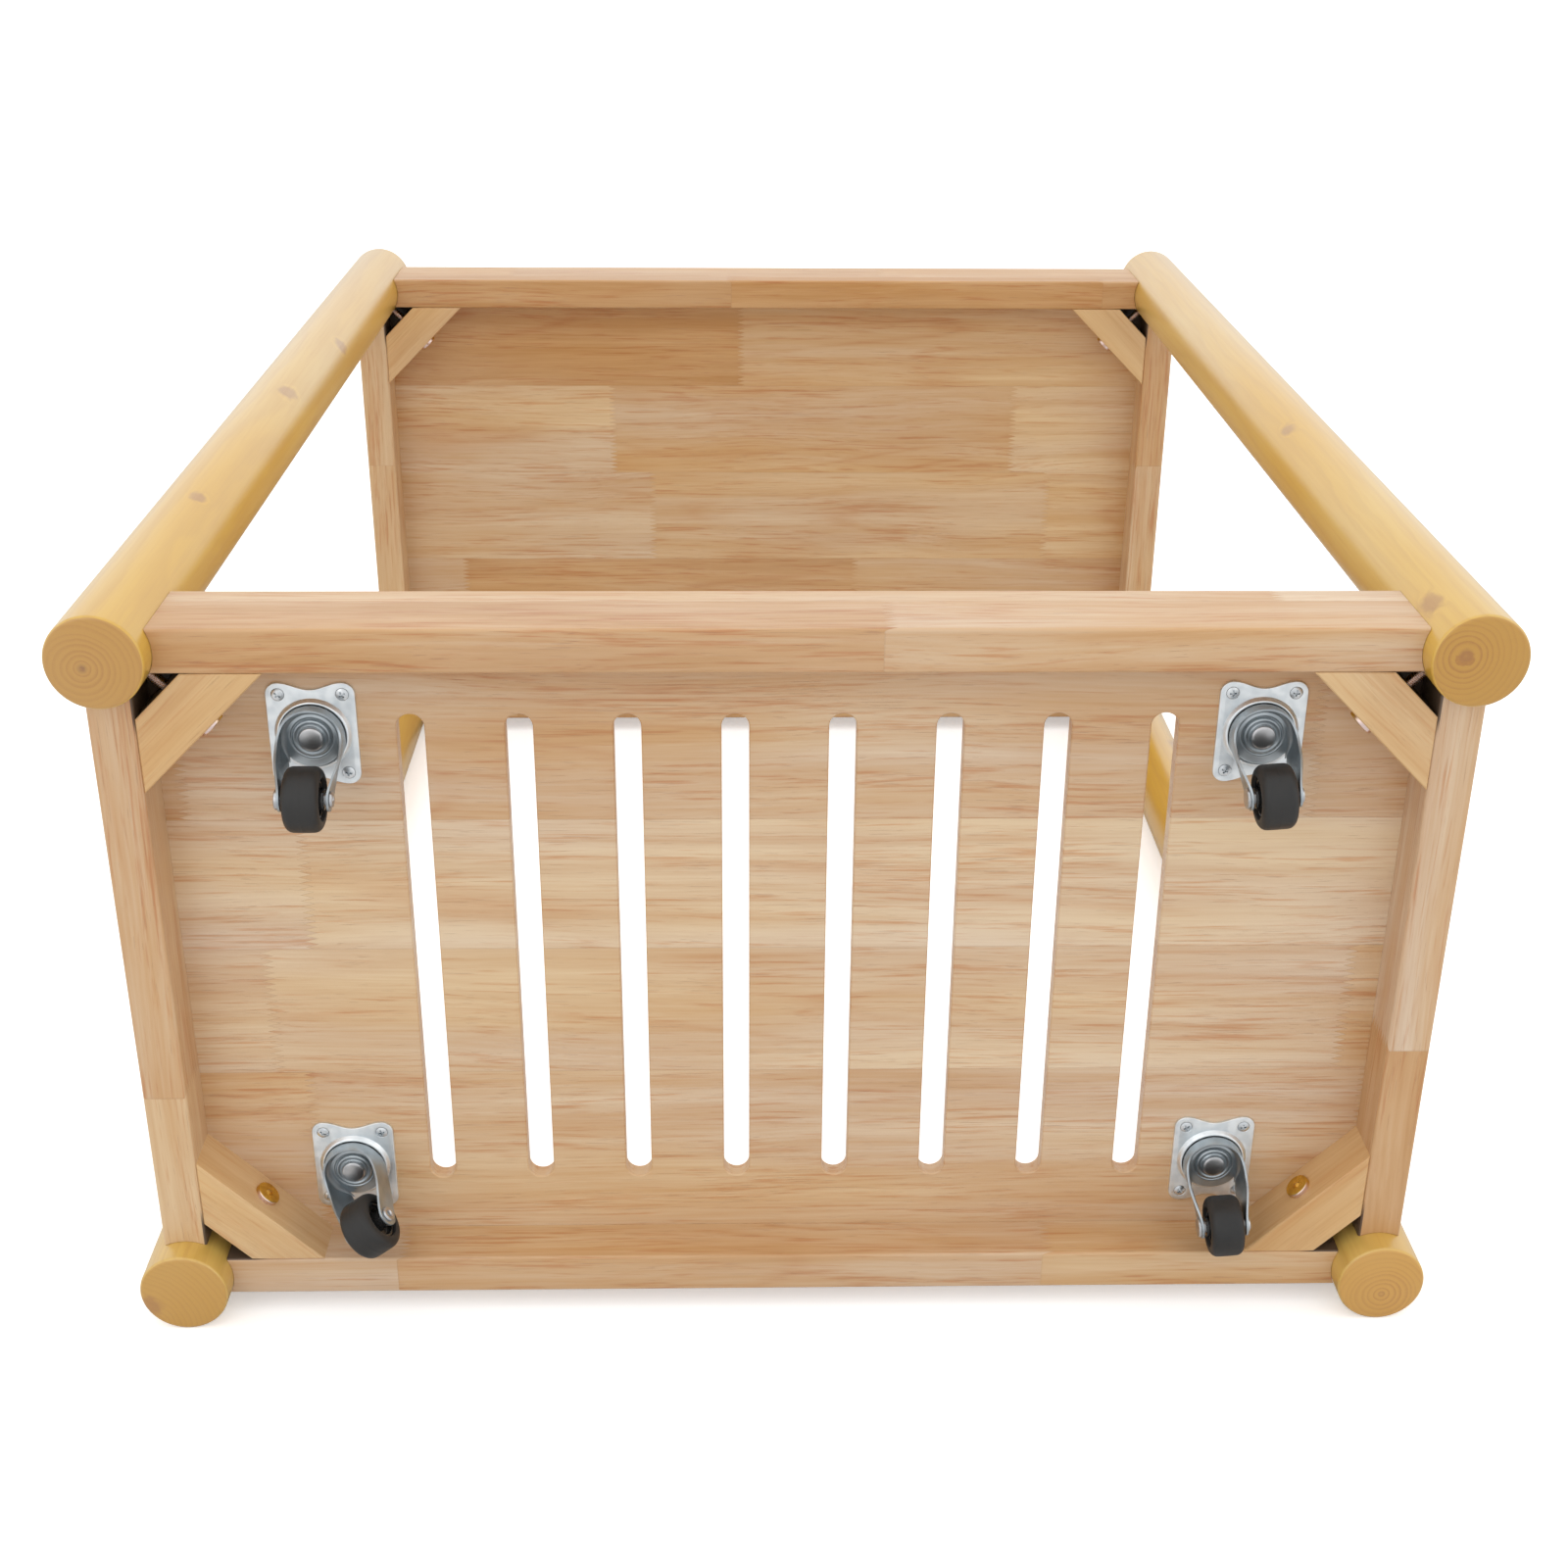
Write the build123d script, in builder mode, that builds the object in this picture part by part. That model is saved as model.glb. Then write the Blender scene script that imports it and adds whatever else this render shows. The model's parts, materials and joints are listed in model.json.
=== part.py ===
from build123d import *
import math
import os

# A caster-mounted frame lying on its side, in millimetres.
# X runs across the frame, Y along the four round posts, Z up from the floor.
# The caster end, called the base, faces -Y. The other end is called the deck.
# The origin is on the floor, in the middle of the frame's footprint.

# Posts
post_spacing_x = 800.0
post_spacing_z = 450.0
post_length = 1075.0
post_diameter = 58.0
post_end_round = 2.5

# Rails, which run from post to post round each panel
rail_thickness = 28.0
rail_depth = 66.0
rail_setback = 18.0
rail_edge_round = 2.0
cope_clearance = 0.3

# Panels, held in a groove in the rails
panel_thickness = 12.0
panel_recess = 35.0
groove_depth = 6.0
groove_play = 0.1
notch_clearance = 1.0

# Ventilation slots in the base panel
slot_count = 8
slot_width = 17.0
slot_margin = 40.5  # from each slot's end to the long rails
slot_to_caster_gap = 23.0  # from the outer slots to the caster plates
slot_edge_break = 0.8

# Corner braces and the bolts that draw each post into its rails
brace_leg = 77.0
brace_width = 34.0
brace_edge_break = 0.8
bolt_offset = 19.0
bolt_radius = 3.9
bolt_past_insert = 1.0
bolt_hole_clearance = 0.6
bolt_head_radius = 8.5
bolt_head_thickness = 3.2
bolt_head_break = 1.0
hex_socket_width = 5.0
hex_socket_depth = 2.4
insert_radius = 6.0
insert_length = 18.0
insert_sink = 1.0
insert_fit = 0.05

# Caster places, from the rails' inner faces, and how far each one has swung
caster_inset_x = 96.5
caster_inset_z = 52.5
caster_swings = {"upper_left": 0.0, "upper_right": 4.5, "lower_left": 37.0, "lower_right": 4.5}

# Caster top plate and its screws
plate_width = 54.0
plate_length = 67.0
plate_thickness = 2.0
plate_ear_radius = 7.5
plate_ear_width = 10.0
plate_waist = 4.6  # how far each end is hollowed between its ears
plate_hole_inset = 7.6
screw_head_radius = 3.9
screw_shank_radius = 1.9
screw_dome = 0.9
screw_cover = 2.0  # the panel left beyond each screw's point
screw_seat_clearance = 0.05
cross_length = 4.6
cross_width = 1.1
cross_depth = 1.3

# Swivel bearing
race_lip_overhang = 1.0  # how far the raised lip stands outside the cap
race_lip_width = 1.2
race_lip_gap = 0.6  # between the lip and the cap above it
race_foot_flare = 2.5
ball_count = 12
ball_bite = 0.4  # how deep each ball sits in the plate, and in the cap
ball_circle_radius = 15.5
ball_clearance = 0.2
kingpin_radius = 5.0
kingpin_head_radius = 7.2
kingpin_dome = 3.0
race_cup_radius = 12.0
race_cup_thickness = 1.6
race_cup_break = 0.5
running_clearance = 0.05
swivel_gap = 0.3

# Fork
cap_radius = 20.0
cap_height = 5.2
cap_thickness = 1.8
cap_crown = 1.3
leg_thickness = 1.8
leg_shoulder = 13.0
leg_bend = 16.0
leg_end_radius = 7.5
leg_front = 7.0
leg_back = 17.0

# Wheel and axle
axle_height = 43.0
axle_trail = 24.5
axle_radius = 2.9
axle_head_radius = 6.5
axle_head_thickness = 2.4
axle_rolled_radius = 5.0
axle_rolled_thickness = 2.0
axle_rolled_bore = 1.8
axle_edge_break = 0.8
sleeve_wall = 0.8
wheel_diameter = 40.0
wheel_width = 22.0
wheel_shoulder_round = 5.0
tyre_depth = 7.0
hub_radius = 6.5
hub_side_gap = 1.2
web_thickness = 11.0
rim_inset = 2.0
rim_wall = 2.2
wheel_side_gap = 2.5  # between the wheel and each leg of the fork

# Worked out from the sizes above
post_radius = post_diameter / 2
wheel_radius = wheel_diameter / 2
half_x = post_spacing_x / 2
half_z = post_spacing_z / 2
middle_z = post_radius + half_z
inner_half_x = half_x - rail_thickness / 2
inner_half_z = half_z - rail_thickness / 2
caster_x = inner_half_x - caster_inset_x
caster_z = inner_half_z - caster_inset_z
slot_length = 2 * (inner_half_z - slot_margin)
outer_slot_edge = caster_x - plate_width / 2 - slot_to_caster_gap
slot_pitch = (2 * outer_slot_edge - slot_width) / (slot_count - 1)
caster_reach = axle_height + wheel_radius - rail_setback - panel_recess
post_near_y = (caster_reach - post_length) / 2
post_far_y = post_near_y + post_length
rail_near_y = {"base": post_near_y + rail_setback, "deck": post_far_y - rail_setback - rail_depth}
panel_near_y = {end: y + panel_recess for end, y in rail_near_y.items()}
bolt_y = {end: y + bolt_offset for end, y in rail_near_y.items()}
brace_short_leg = brace_leg - brace_width * math.sqrt(2)
brace_face_from_post = (brace_leg + rail_thickness) / math.sqrt(2)
bolt_tip_from_post = post_radius - insert_sink - insert_length - bolt_past_insert
bolt_length = brace_face_from_post - bolt_tip_from_post
plate_waist_width = plate_width - 2 * plate_ear_width
plate_hole_x = plate_width - 2 * plate_hole_inset
plate_hole_y = plate_length - 2 * plate_hole_inset
screw_length = panel_thickness + plate_thickness - screw_cover
race_lip_radius = cap_radius + race_lip_overhang
race_lip_height = cap_height - plate_thickness - race_lip_gap
race_foot_radius = race_lip_radius + race_foot_flare
ball_height = (plate_thickness + cap_height) / 2
ball_radius = (cap_height - plate_thickness) / 2 + ball_bite
cap_top = cap_height + cap_thickness
race_cup_low = cap_top + swivel_gap
race_cup_high = race_cup_low + race_cup_thickness
inner_leg_x = wheel_width / 2 + wheel_side_gap
leg_outer_x = inner_leg_x + leg_thickness
sleeve_radius = axle_radius + running_clearance + sleeve_wall
tyre_bore = wheel_radius - tyre_depth
rim_width = wheel_width - 2 * rim_inset
corners = {"upper_left": (-1, 1), "upper_right": (1, 1), "lower_left": (-1, -1), "lower_right": (1, -1)}
away = Vector(0, 1, 0)


def end_plane(y):
    # A plane across the frame as seen from the caster end: X across, Z up, facing -Y
    return Plane(origin=(0, y, middle_z), x_dir=(1, 0, 0), z_dir=(0, -1, 0))


def bolt_line(corner, y):
    # A point on the post's axis, and the direction from there to the middle of the frame
    side_x, side_z = corners[corner]
    point = Vector(side_x * half_x, y, middle_z + side_z * half_z)
    inward = Vector(-side_x, 0, -side_z).normalized()
    return point, inward


def bolt_plane(corner, y, distance):
    point, inward = bolt_line(corner, y)
    return Plane(origin=point + inward * distance, x_dir=away, z_dir=inward)


bolt_seats = []
insert_seats = []
for end_y in bolt_y.values():
    for corner_name in corners:
        bolt_seats.append(bolt_plane(corner_name, end_y, brace_face_from_post))
        insert_seats.append(bolt_plane(corner_name, end_y, post_radius - insert_sink))

caster_seats = {}
swivel_seats = {}
for corner_name, (side_x, side_z) in corners.items():
    seat = Plane(
        origin=(side_x * caster_x, panel_near_y["base"], middle_z + side_z * caster_z),
        x_dir=(1, 0, 0),
        z_dir=-away,
    )
    caster_seats[corner_name] = seat
    swing = math.radians(caster_swings[corner_name])
    axle_direction = (math.cos(swing), 0, math.sin(swing))
    swivel_seats[corner_name] = Plane(origin=seat.origin, x_dir=axle_direction, z_dir=-away)

os.makedirs("parts", exist_ok=True)


def save(builder, name):
    builder.part.label = name
    export_step(builder.part, f"parts/{name}.step")


# Frame


def make_post(corner):
    side_x, side_z = corners[corner]
    near_end = Plane(
        origin=(side_x * half_x, post_near_y, middle_z + side_z * half_z),
        x_dir=(1, 0, 0),
        z_dir=away,
    )
    with BuildPart() as post:
        with BuildSketch(near_end):
            Circle(post_radius)
        extrude(amount=post_length)
        fillet(post.edges().filter_by(GeomType.CIRCLE), post_end_round)
        hole_floor = bolt_tip_from_post - bolt_hole_clearance
        with BuildSketch(*[bolt_plane(corner, y, hole_floor) for y in bolt_y.values()]):
            Circle(insert_radius + insert_fit)
        extrude(amount=post_radius - hole_floor, mode=Mode.SUBTRACT)
    return post


def make_rail(end, inward, half_across, half_along):
    along = inward.cross(away)
    start = Vector(0, rail_near_y[end], middle_z) - inward * half_across - along * half_along
    with BuildPart() as rail:
        with BuildSketch(Plane(origin=start, x_dir=inward, z_dir=along)):
            with Locations((0, rail_depth / 2)):
                RectangleRounded(rail_thickness, rail_depth, rail_edge_round)
            with Locations((rail_thickness / 2, panel_recess + panel_thickness / 2)):
                Rectangle(2 * groove_depth, panel_thickness + 2 * groove_play, mode=Mode.SUBTRACT)
        extrude(amount=2 * half_along)
        post_middles = [start, start + along * 2 * half_along]
        with BuildSketch(*[Plane(origin=middle, x_dir=inward, z_dir=away) for middle in post_middles]):
            Circle(post_radius + cope_clearance)
        extrude(amount=rail_depth, mode=Mode.SUBTRACT)
    return rail


def draw_panel():
    reach = groove_depth - groove_play
    Rectangle(2 * (inner_half_x + reach), 2 * (inner_half_z + reach))
    with GridLocations(post_spacing_x, post_spacing_z, 2, 2):
        Circle(post_radius + notch_clearance, mode=Mode.SUBTRACT)


def make_deck_panel():
    with BuildPart() as panel:
        with BuildSketch(end_plane(panel_near_y["deck"])):
            draw_panel()
        extrude(amount=-panel_thickness)
    return panel


def make_base_panel():
    near_face = end_plane(panel_near_y["base"])
    with BuildPart() as panel:
        with BuildSketch(near_face):
            draw_panel()
        extrude(amount=-panel_thickness)
        with BuildSketch(near_face):
            with GridLocations(slot_pitch, 0, slot_count, 1):
                SlotOverall(slot_length, slot_width, rotation=90)
        extrude(amount=-panel_thickness, mode=Mode.SUBTRACT)
        slot_edges = panel.edges(Select.LAST).group_by(Axis.Y)
        chamfer(slot_edges[0] + slot_edges[-1], slot_edge_break)
        with BuildSketch(*caster_seats.values()):
            with GridLocations(plate_hole_x, plate_hole_y, 2, 2):
                Circle(screw_shank_radius + screw_seat_clearance)
        extrude(amount=plate_thickness - screw_length, mode=Mode.SUBTRACT)
    return panel


def make_brace(end, corner):
    side_x, side_z = corners[corner]
    near_face = end_plane(rail_near_y[end])
    corner_x = side_x * inner_half_x
    corner_z = side_z * inner_half_z
    with BuildPart() as brace:
        with BuildSketch(near_face):
            with BuildLine():
                Polyline(
                    (corner_x, corner_z - side_z * brace_leg),
                    (corner_x - side_x * brace_leg, corner_z),
                    (corner_x - side_x * brace_short_leg, corner_z),
                    (corner_x, corner_z - side_z * brace_short_leg),
                    close=True,
                )
            make_face()
        extrude(amount=-panel_recess)
        chamfer(brace.edges().filter_by(GeomType.LINE).group_by(Axis.Y)[0], brace_edge_break)
        with BuildSketch(bolt_plane(corner, bolt_y[end], post_radius)):
            Circle(bolt_radius + bolt_hole_clearance)
        extrude(amount=brace_face_from_post, mode=Mode.SUBTRACT)
    return brace


def make_corner_bolts():
    rim_height = bolt_head_thickness - bolt_head_break
    with BuildPart() as bolts:
        with BuildSketch(*bolt_seats):
            Circle(bolt_head_radius)
        extrude(amount=rim_height)
        with BuildSketch(*[seat.offset(rim_height) for seat in bolt_seats]):
            Circle(bolt_head_radius)
        extrude(amount=bolt_head_break, taper=45)
        with BuildSketch(*bolt_seats):
            Circle(bolt_radius)
        extrude(amount=-bolt_length)
        with BuildSketch(*[seat.offset(bolt_head_thickness) for seat in bolt_seats]):
            RegularPolygon(hex_socket_width / 2, 6, major_radius=False)
        extrude(amount=-hex_socket_depth, mode=Mode.SUBTRACT)
    return bolts


def make_post_inserts():
    with BuildPart() as inserts:
        with BuildSketch(*insert_seats):
            Circle(insert_radius)
            Circle(bolt_radius + insert_fit, mode=Mode.SUBTRACT)
        extrude(amount=-insert_length)
    return inserts


# Casters. Each is drawn on its seat: the swivel axis is the seat's Z, which points off the panel,
# the axle lies along the seat's X, and the wheel trails towards the seat's -Y.


def around(seat):
    # The plane of a profile that is turned about the seat's Z: radius across, height up
    return Plane(origin=seat.origin, x_dir=seat.x_dir, z_dir=-seat.y_dir)


def beside(seat):
    # The plane of a side view of the caster: the seat's Y across, height up
    return Plane(origin=seat.origin, x_dir=seat.y_dir, z_dir=seat.x_dir)


def axle_centre(seat):
    return seat.origin + seat.z_dir * axle_height - seat.y_dir * axle_trail


def across_axle(seat):
    # The plane of a profile that is turned about the axle: radius across, the axle's length up
    return Plane(origin=axle_centre(seat), x_dir=seat.z_dir, z_dir=seat.y_dir)


def axle_axis(seat):
    return Axis(axle_centre(seat), seat.x_dir)


def swivel_axis(seat):
    return Axis(seat.origin, seat.z_dir)


def draw_ring(inner, outer, low, high):
    # A rectangle in a turned profile, from one radius to another and one height to another
    with Locations(((inner + outer) / 2, (low + high) / 2)):
        Rectangle(outer - inner, high - low)


def ball_groove(seat):
    with BuildSketch(around(seat)) as section:
        with Locations((ball_circle_radius, ball_height)):
            Circle(ball_radius + ball_clearance)
    return section.sketch


def make_caster_plate(seat):
    waist_radius = ((plate_waist_width / 2) ** 2 + plate_waist**2) / (2 * plate_waist)
    waist_centre = plate_length / 2 + waist_radius - plate_waist
    with BuildPart() as plate:
        with BuildSketch(seat):
            RectangleRounded(plate_width, plate_length, plate_ear_radius)
            with Locations((0, waist_centre), (0, -waist_centre)):
                Circle(waist_radius, mode=Mode.SUBTRACT)
        extrude(amount=plate_thickness)
        with BuildSketch(around(seat)):
            with BuildLine():
                Polyline(
                    (race_lip_radius - race_lip_width - race_lip_height / 2, plate_thickness),
                    (race_lip_radius - race_lip_width, plate_thickness + race_lip_height),
                    (race_lip_radius, plate_thickness + race_lip_height),
                    (race_foot_radius, plate_thickness),
                    close=True,
                )
            make_face()
        revolve(axis=swivel_axis(seat))
        revolve(ball_groove(seat), axis=swivel_axis(seat), mode=Mode.SUBTRACT)
        with BuildSketch(seat):
            Circle(kingpin_radius + running_clearance)
        extrude(amount=plate_thickness, mode=Mode.SUBTRACT)
        with Locations(seat.offset(plate_thickness)):
            with GridLocations(plate_hole_x, plate_hole_y, 2, 2):
                CounterSinkHole(
                    radius=screw_shank_radius + screw_seat_clearance,
                    counter_sink_radius=screw_head_radius + screw_seat_clearance,
                    depth=plate_thickness,
                    counter_sink_angle=90,
                )
    return plate


def make_caster_screws():
    head_tops = [seat.offset(plate_thickness) for seat in caster_seats.values()]
    head_depth = screw_head_radius - screw_shank_radius
    dome_radius = (screw_head_radius**2 + screw_dome**2) / (2 * screw_dome)
    with BuildPart() as screws:
        with BuildSketch(*head_tops):
            with GridLocations(plate_hole_x, plate_hole_y, 2, 2):
                Circle(screw_head_radius)
        extrude(amount=-head_depth, taper=45)
        with BuildSketch(*head_tops):
            with GridLocations(plate_hole_x, plate_hole_y, 2, 2):
                Circle(screw_shank_radius)
        extrude(amount=-screw_length)
        with Locations(*head_tops):
            with GridLocations(plate_hole_x, plate_hole_y, 2, 2):
                with Locations((0, 0, screw_dome)):
                    Sphere(
                        dome_radius,
                        arc_size1=math.degrees(math.asin(1 - screw_dome / dome_radius)),
                        align=(Align.CENTER, Align.CENTER, Align.MAX),
                    )
        with BuildSketch(*[top.offset(screw_dome) for top in head_tops]):
            with GridLocations(plate_hole_x, plate_hole_y, 2, 2):
                Rectangle(cross_length, cross_width, rotation=45)
                Rectangle(cross_width, cross_length, rotation=45)
        extrude(amount=-cross_depth - screw_dome, mode=Mode.SUBTRACT)
    return screws


def make_race_balls():
    with BuildPart() as balls:
        with Locations(*[seat.offset(ball_height) for seat in caster_seats.values()]):
            with PolarLocations(ball_circle_radius, ball_count):
                Sphere(ball_radius)
    return balls


def make_race_cup(seat):
    with BuildPart() as cup:
        with BuildSketch(around(seat)):
            draw_ring(kingpin_radius + running_clearance, race_cup_radius, race_cup_low, race_cup_high)
        revolve(axis=swivel_axis(seat))
        top_edges = cup.edges().group_by(swivel_axis(seat))[-1]
        chamfer(top_edges.sort_by(SortBy.RADIUS)[-1], race_cup_break)
    return cup


def make_kingpin(seat):
    dome_radius = (kingpin_head_radius**2 + kingpin_dome**2) / (2 * kingpin_dome)
    with BuildPart() as kingpin:
        with BuildSketch(around(seat)):
            with BuildLine():
                rim = Polyline(
                    (0, 0),
                    (kingpin_radius, 0),
                    (kingpin_radius, race_cup_high),
                    (kingpin_head_radius, race_cup_high),
                )
                top = (0, race_cup_high + kingpin_dome)
                RadiusArc(rim @ 1, top, -dome_radius)
                Line(top, (0, 0))
            make_face()
        revolve(axis=swivel_axis(seat))
    return kingpin


def make_fork(seat):
    leg_line = [
        (cap_radius, cap_height),
        (cap_radius, leg_shoulder),
        (leg_outer_x, leg_shoulder + leg_bend),
        (leg_outer_x, axle_height + leg_end_radius),
    ]
    inner_line = [(x - leg_thickness, z) for x, z in reversed(leg_line)]
    crown_high = cap_top + cap_crown
    with BuildPart() as fork:
        with BuildSketch(around(seat)):
            with BuildLine():
                Polyline(*leg_line, *inner_line, close=True)
            make_face()
            mirror(about=Plane.YZ)
        extrude(amount=axle_trail + leg_end_radius, both=True)
        with BuildSketch(beside(seat)):
            with Locations((-axle_trail, axle_height)):
                Circle(leg_end_radius)
            with Locations(((leg_front - leg_back) / 2, cap_height + cap_thickness / 2)):
                Rectangle(leg_front + leg_back, cap_thickness)
            make_hull()
        extrude(amount=cap_radius, both=True, mode=Mode.INTERSECT)
        with BuildSketch(around(seat)):
            with BuildLine():
                Polyline(
                    (0, cap_height),
                    (cap_radius, cap_height),
                    (cap_radius, cap_top),
                    (ball_circle_radius + ball_radius, crown_high),
                    (ball_circle_radius - ball_radius, crown_high),
                    (race_cup_radius + 2 * swivel_gap, cap_top),
                    (0, cap_top),
                    close=True,
                )
            make_face()
        revolve(axis=swivel_axis(seat))
        revolve(ball_groove(seat), axis=swivel_axis(seat), mode=Mode.SUBTRACT)
        with BuildSketch(seat.offset(cap_height)):
            Circle(kingpin_radius + running_clearance)
        extrude(amount=cap_thickness, mode=Mode.SUBTRACT)
        with BuildSketch(beside(seat)):
            with Locations((-axle_trail, axle_height)):
                Circle(axle_radius + running_clearance)
        extrude(amount=cap_radius, both=True, mode=Mode.SUBTRACT)
    return fork


def make_axle(seat):
    with BuildPart() as axle:
        with BuildSketch(across_axle(seat)):
            draw_ring(0, axle_radius, -leg_outer_x, leg_outer_x)
            draw_ring(0, axle_head_radius, -leg_outer_x - axle_head_thickness, -leg_outer_x)
            draw_ring(0, axle_rolled_radius, leg_outer_x, leg_outer_x + axle_rolled_thickness)
        revolve(axis=axle_axis(seat))
        rims = axle.edges().group_by(axle_axis(seat))
        chamfer(rims[0] + rims[-1], axle_edge_break)
        rolled_end = leg_outer_x + axle_rolled_thickness
        with BuildSketch(across_axle(seat)):
            draw_ring(0, axle_rolled_bore, leg_outer_x - axle_rolled_thickness, rolled_end)
        revolve(axis=axle_axis(seat), mode=Mode.SUBTRACT)
    return axle


def make_axle_sleeve(seat):
    half_length = inner_leg_x - running_clearance
    with BuildPart() as sleeve:
        with BuildSketch(across_axle(seat)):
            draw_ring(axle_radius + running_clearance, sleeve_radius, -half_length, half_length)
        revolve(axis=axle_axis(seat))
    return sleeve


def make_wheel_core(seat):
    hub_half = inner_leg_x - hub_side_gap
    rim_outer = tyre_bore - running_clearance
    with BuildPart() as core:
        with BuildSketch(across_axle(seat)):
            bore = sleeve_radius + running_clearance
            draw_ring(bore, hub_radius, -hub_half, hub_half)
            draw_ring(bore, rim_outer, -web_thickness / 2, web_thickness / 2)
            draw_ring(rim_outer - rim_wall, rim_outer, -rim_width / 2, rim_width / 2)
        revolve(axis=axle_axis(seat))
    return core


def make_tyre(seat):
    with BuildPart() as tyre:
        with BuildSketch(across_axle(seat)) as section:
            draw_ring(tyre_bore, wheel_radius, -wheel_width / 2, wheel_width / 2)
            fillet(section.vertices().group_by(Axis.X)[-1], wheel_shoulder_round)
        revolve(axis=axle_axis(seat))
    return tyre


for corner_name in corners:
    save(make_post(corner_name), f"post_{corner_name}")

rail_sides = {
    "long_rail_upper": (Vector(0, 0, -1), half_z, half_x),
    "long_rail_lower": (Vector(0, 0, 1), half_z, half_x),
    "short_rail_left": (Vector(1, 0, 0), half_x, half_z),
    "short_rail_right": (Vector(-1, 0, 0), half_x, half_z),
}
for end_name in ("base", "deck"):
    for side_name, (inward, half_across, half_along) in rail_sides.items():
        save(make_rail(end_name, inward, half_across, half_along), f"{end_name}_{side_name}")
    for corner_name in corners:
        save(make_brace(end_name, corner_name), f"{end_name}_brace_{corner_name}")

save(make_base_panel(), "base_panel_slotted")
save(make_deck_panel(), "deck_panel")
save(make_corner_bolts(), "corner_bolts")
save(make_post_inserts(), "post_inserts")
save(make_caster_screws(), "caster_screws")
save(make_race_balls(), "race_balls")

for corner_name, seat in caster_seats.items():
    swung = swivel_seats[corner_name]
    save(make_caster_plate(seat), f"caster_plate_{corner_name}")
    save(make_race_cup(seat), f"race_cup_{corner_name}")
    save(make_kingpin(seat), f"kingpin_{corner_name}")
    save(make_fork(swung), f"fork_{corner_name}")
    save(make_axle(swung), f"wheel_axle_{corner_name}")
    save(make_axle_sleeve(swung), f"axle_sleeve_{corner_name}")
    save(make_wheel_core(swung), f"wheel_core_{corner_name}")
    save(make_tyre(swung), f"tyre_{corner_name}")
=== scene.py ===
import json
import math

import bmesh
import bpy
from mathutils import Matrix, Vector


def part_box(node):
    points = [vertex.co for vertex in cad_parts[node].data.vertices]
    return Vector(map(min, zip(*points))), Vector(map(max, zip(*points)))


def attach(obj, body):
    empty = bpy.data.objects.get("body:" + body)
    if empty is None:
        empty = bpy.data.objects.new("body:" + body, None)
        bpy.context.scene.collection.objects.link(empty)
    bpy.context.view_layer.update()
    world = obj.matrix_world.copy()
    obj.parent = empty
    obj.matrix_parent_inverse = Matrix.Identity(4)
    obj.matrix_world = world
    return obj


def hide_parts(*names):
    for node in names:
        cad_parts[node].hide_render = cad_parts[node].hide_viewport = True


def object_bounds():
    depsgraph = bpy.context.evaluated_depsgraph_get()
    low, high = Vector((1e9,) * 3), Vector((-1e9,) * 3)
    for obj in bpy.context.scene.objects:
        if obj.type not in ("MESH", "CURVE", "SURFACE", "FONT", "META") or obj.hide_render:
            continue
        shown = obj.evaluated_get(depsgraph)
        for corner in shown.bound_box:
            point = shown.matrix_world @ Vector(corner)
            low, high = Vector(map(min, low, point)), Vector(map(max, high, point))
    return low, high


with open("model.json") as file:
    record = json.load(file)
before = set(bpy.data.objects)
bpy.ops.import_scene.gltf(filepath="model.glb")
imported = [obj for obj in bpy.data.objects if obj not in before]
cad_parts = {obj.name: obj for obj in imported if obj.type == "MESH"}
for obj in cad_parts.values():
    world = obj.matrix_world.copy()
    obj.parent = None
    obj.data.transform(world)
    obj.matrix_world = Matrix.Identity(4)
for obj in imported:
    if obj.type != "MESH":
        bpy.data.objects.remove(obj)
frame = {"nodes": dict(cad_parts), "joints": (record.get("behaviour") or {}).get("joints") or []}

# A wooden frame on casters, lying on its side. Lengths are in metres.
# The posts run along Y, with the casters at the -Y end.

cadLow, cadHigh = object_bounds()
scene = bpy.context.scene
corners = ["upper_left", "upper_right", "lower_left", "lower_right"]
frameEnds = ["base", "deck"]
fullTurn = 2 * math.pi


def middleOf(node):
    low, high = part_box(node)
    return (low + high) / 2


# Camera

cameraSettings = {
    "place": (-0.032, -1.643, 0.926),
    "lookDown": 25.25,  # degrees below level
    "lookRight": 1.43,
    "roll": 0.46,
    "lens": 47.7,
    "sensor": 36.0,
}


def makeCamera():
    data = bpy.data.cameras.new("viewCamera")
    data.lens = cameraSettings["lens"]
    data.sensor_width = cameraSettings["sensor"]
    camera = bpy.data.objects.new("viewCamera", data)
    scene.collection.objects.link(camera)
    place = Matrix.Translation(cameraSettings["place"])
    turn = Matrix.Rotation(-math.radians(cameraSettings["lookRight"]), 4, "Z")
    tilt = Matrix.Rotation(math.radians(90 - cameraSettings["lookDown"]), 4, "X")
    roll = Matrix.Rotation(math.radians(cameraSettings["roll"]), 4, "Z")
    camera.matrix_world = place @ turn @ tilt @ roll
    scene.camera = camera


makeCamera()

# Studio

studioSettings = {
    "floorSize": 30.0,
    "floorColour": (0.97, 0.97, 0.97, 1),
    "floorBounce": (0.72, 0.72, 0.72, 1),  # the floor as it lights the object
    "floorLift": 0.38,  # keeps the shadows on the floor faint
    "floorRoughness": 0.9,
    "floorSpecular": 0.1,
    "worldColour": (1.0, 1.0, 1.0, 1),
    "worldStrength": 1.06,
    # name, place, aimed at, width, height, power
    "softBoxes": [
        ("overheadBox", (0.0, -0.1, 2.4), (0.0, 0.0, 0.2), 2.2, 2.2, 5.0),
        ("frontBox", (-1.6, -2.6, 1.9), (0.0, -0.3, 0.25), 1.8, 1.8, 6.0),
        ("sideBox", (2.2, -1.2, 1.4), (0.0, 0.0, 0.25), 1.4, 1.4, 3.0),
    ],
}


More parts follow.
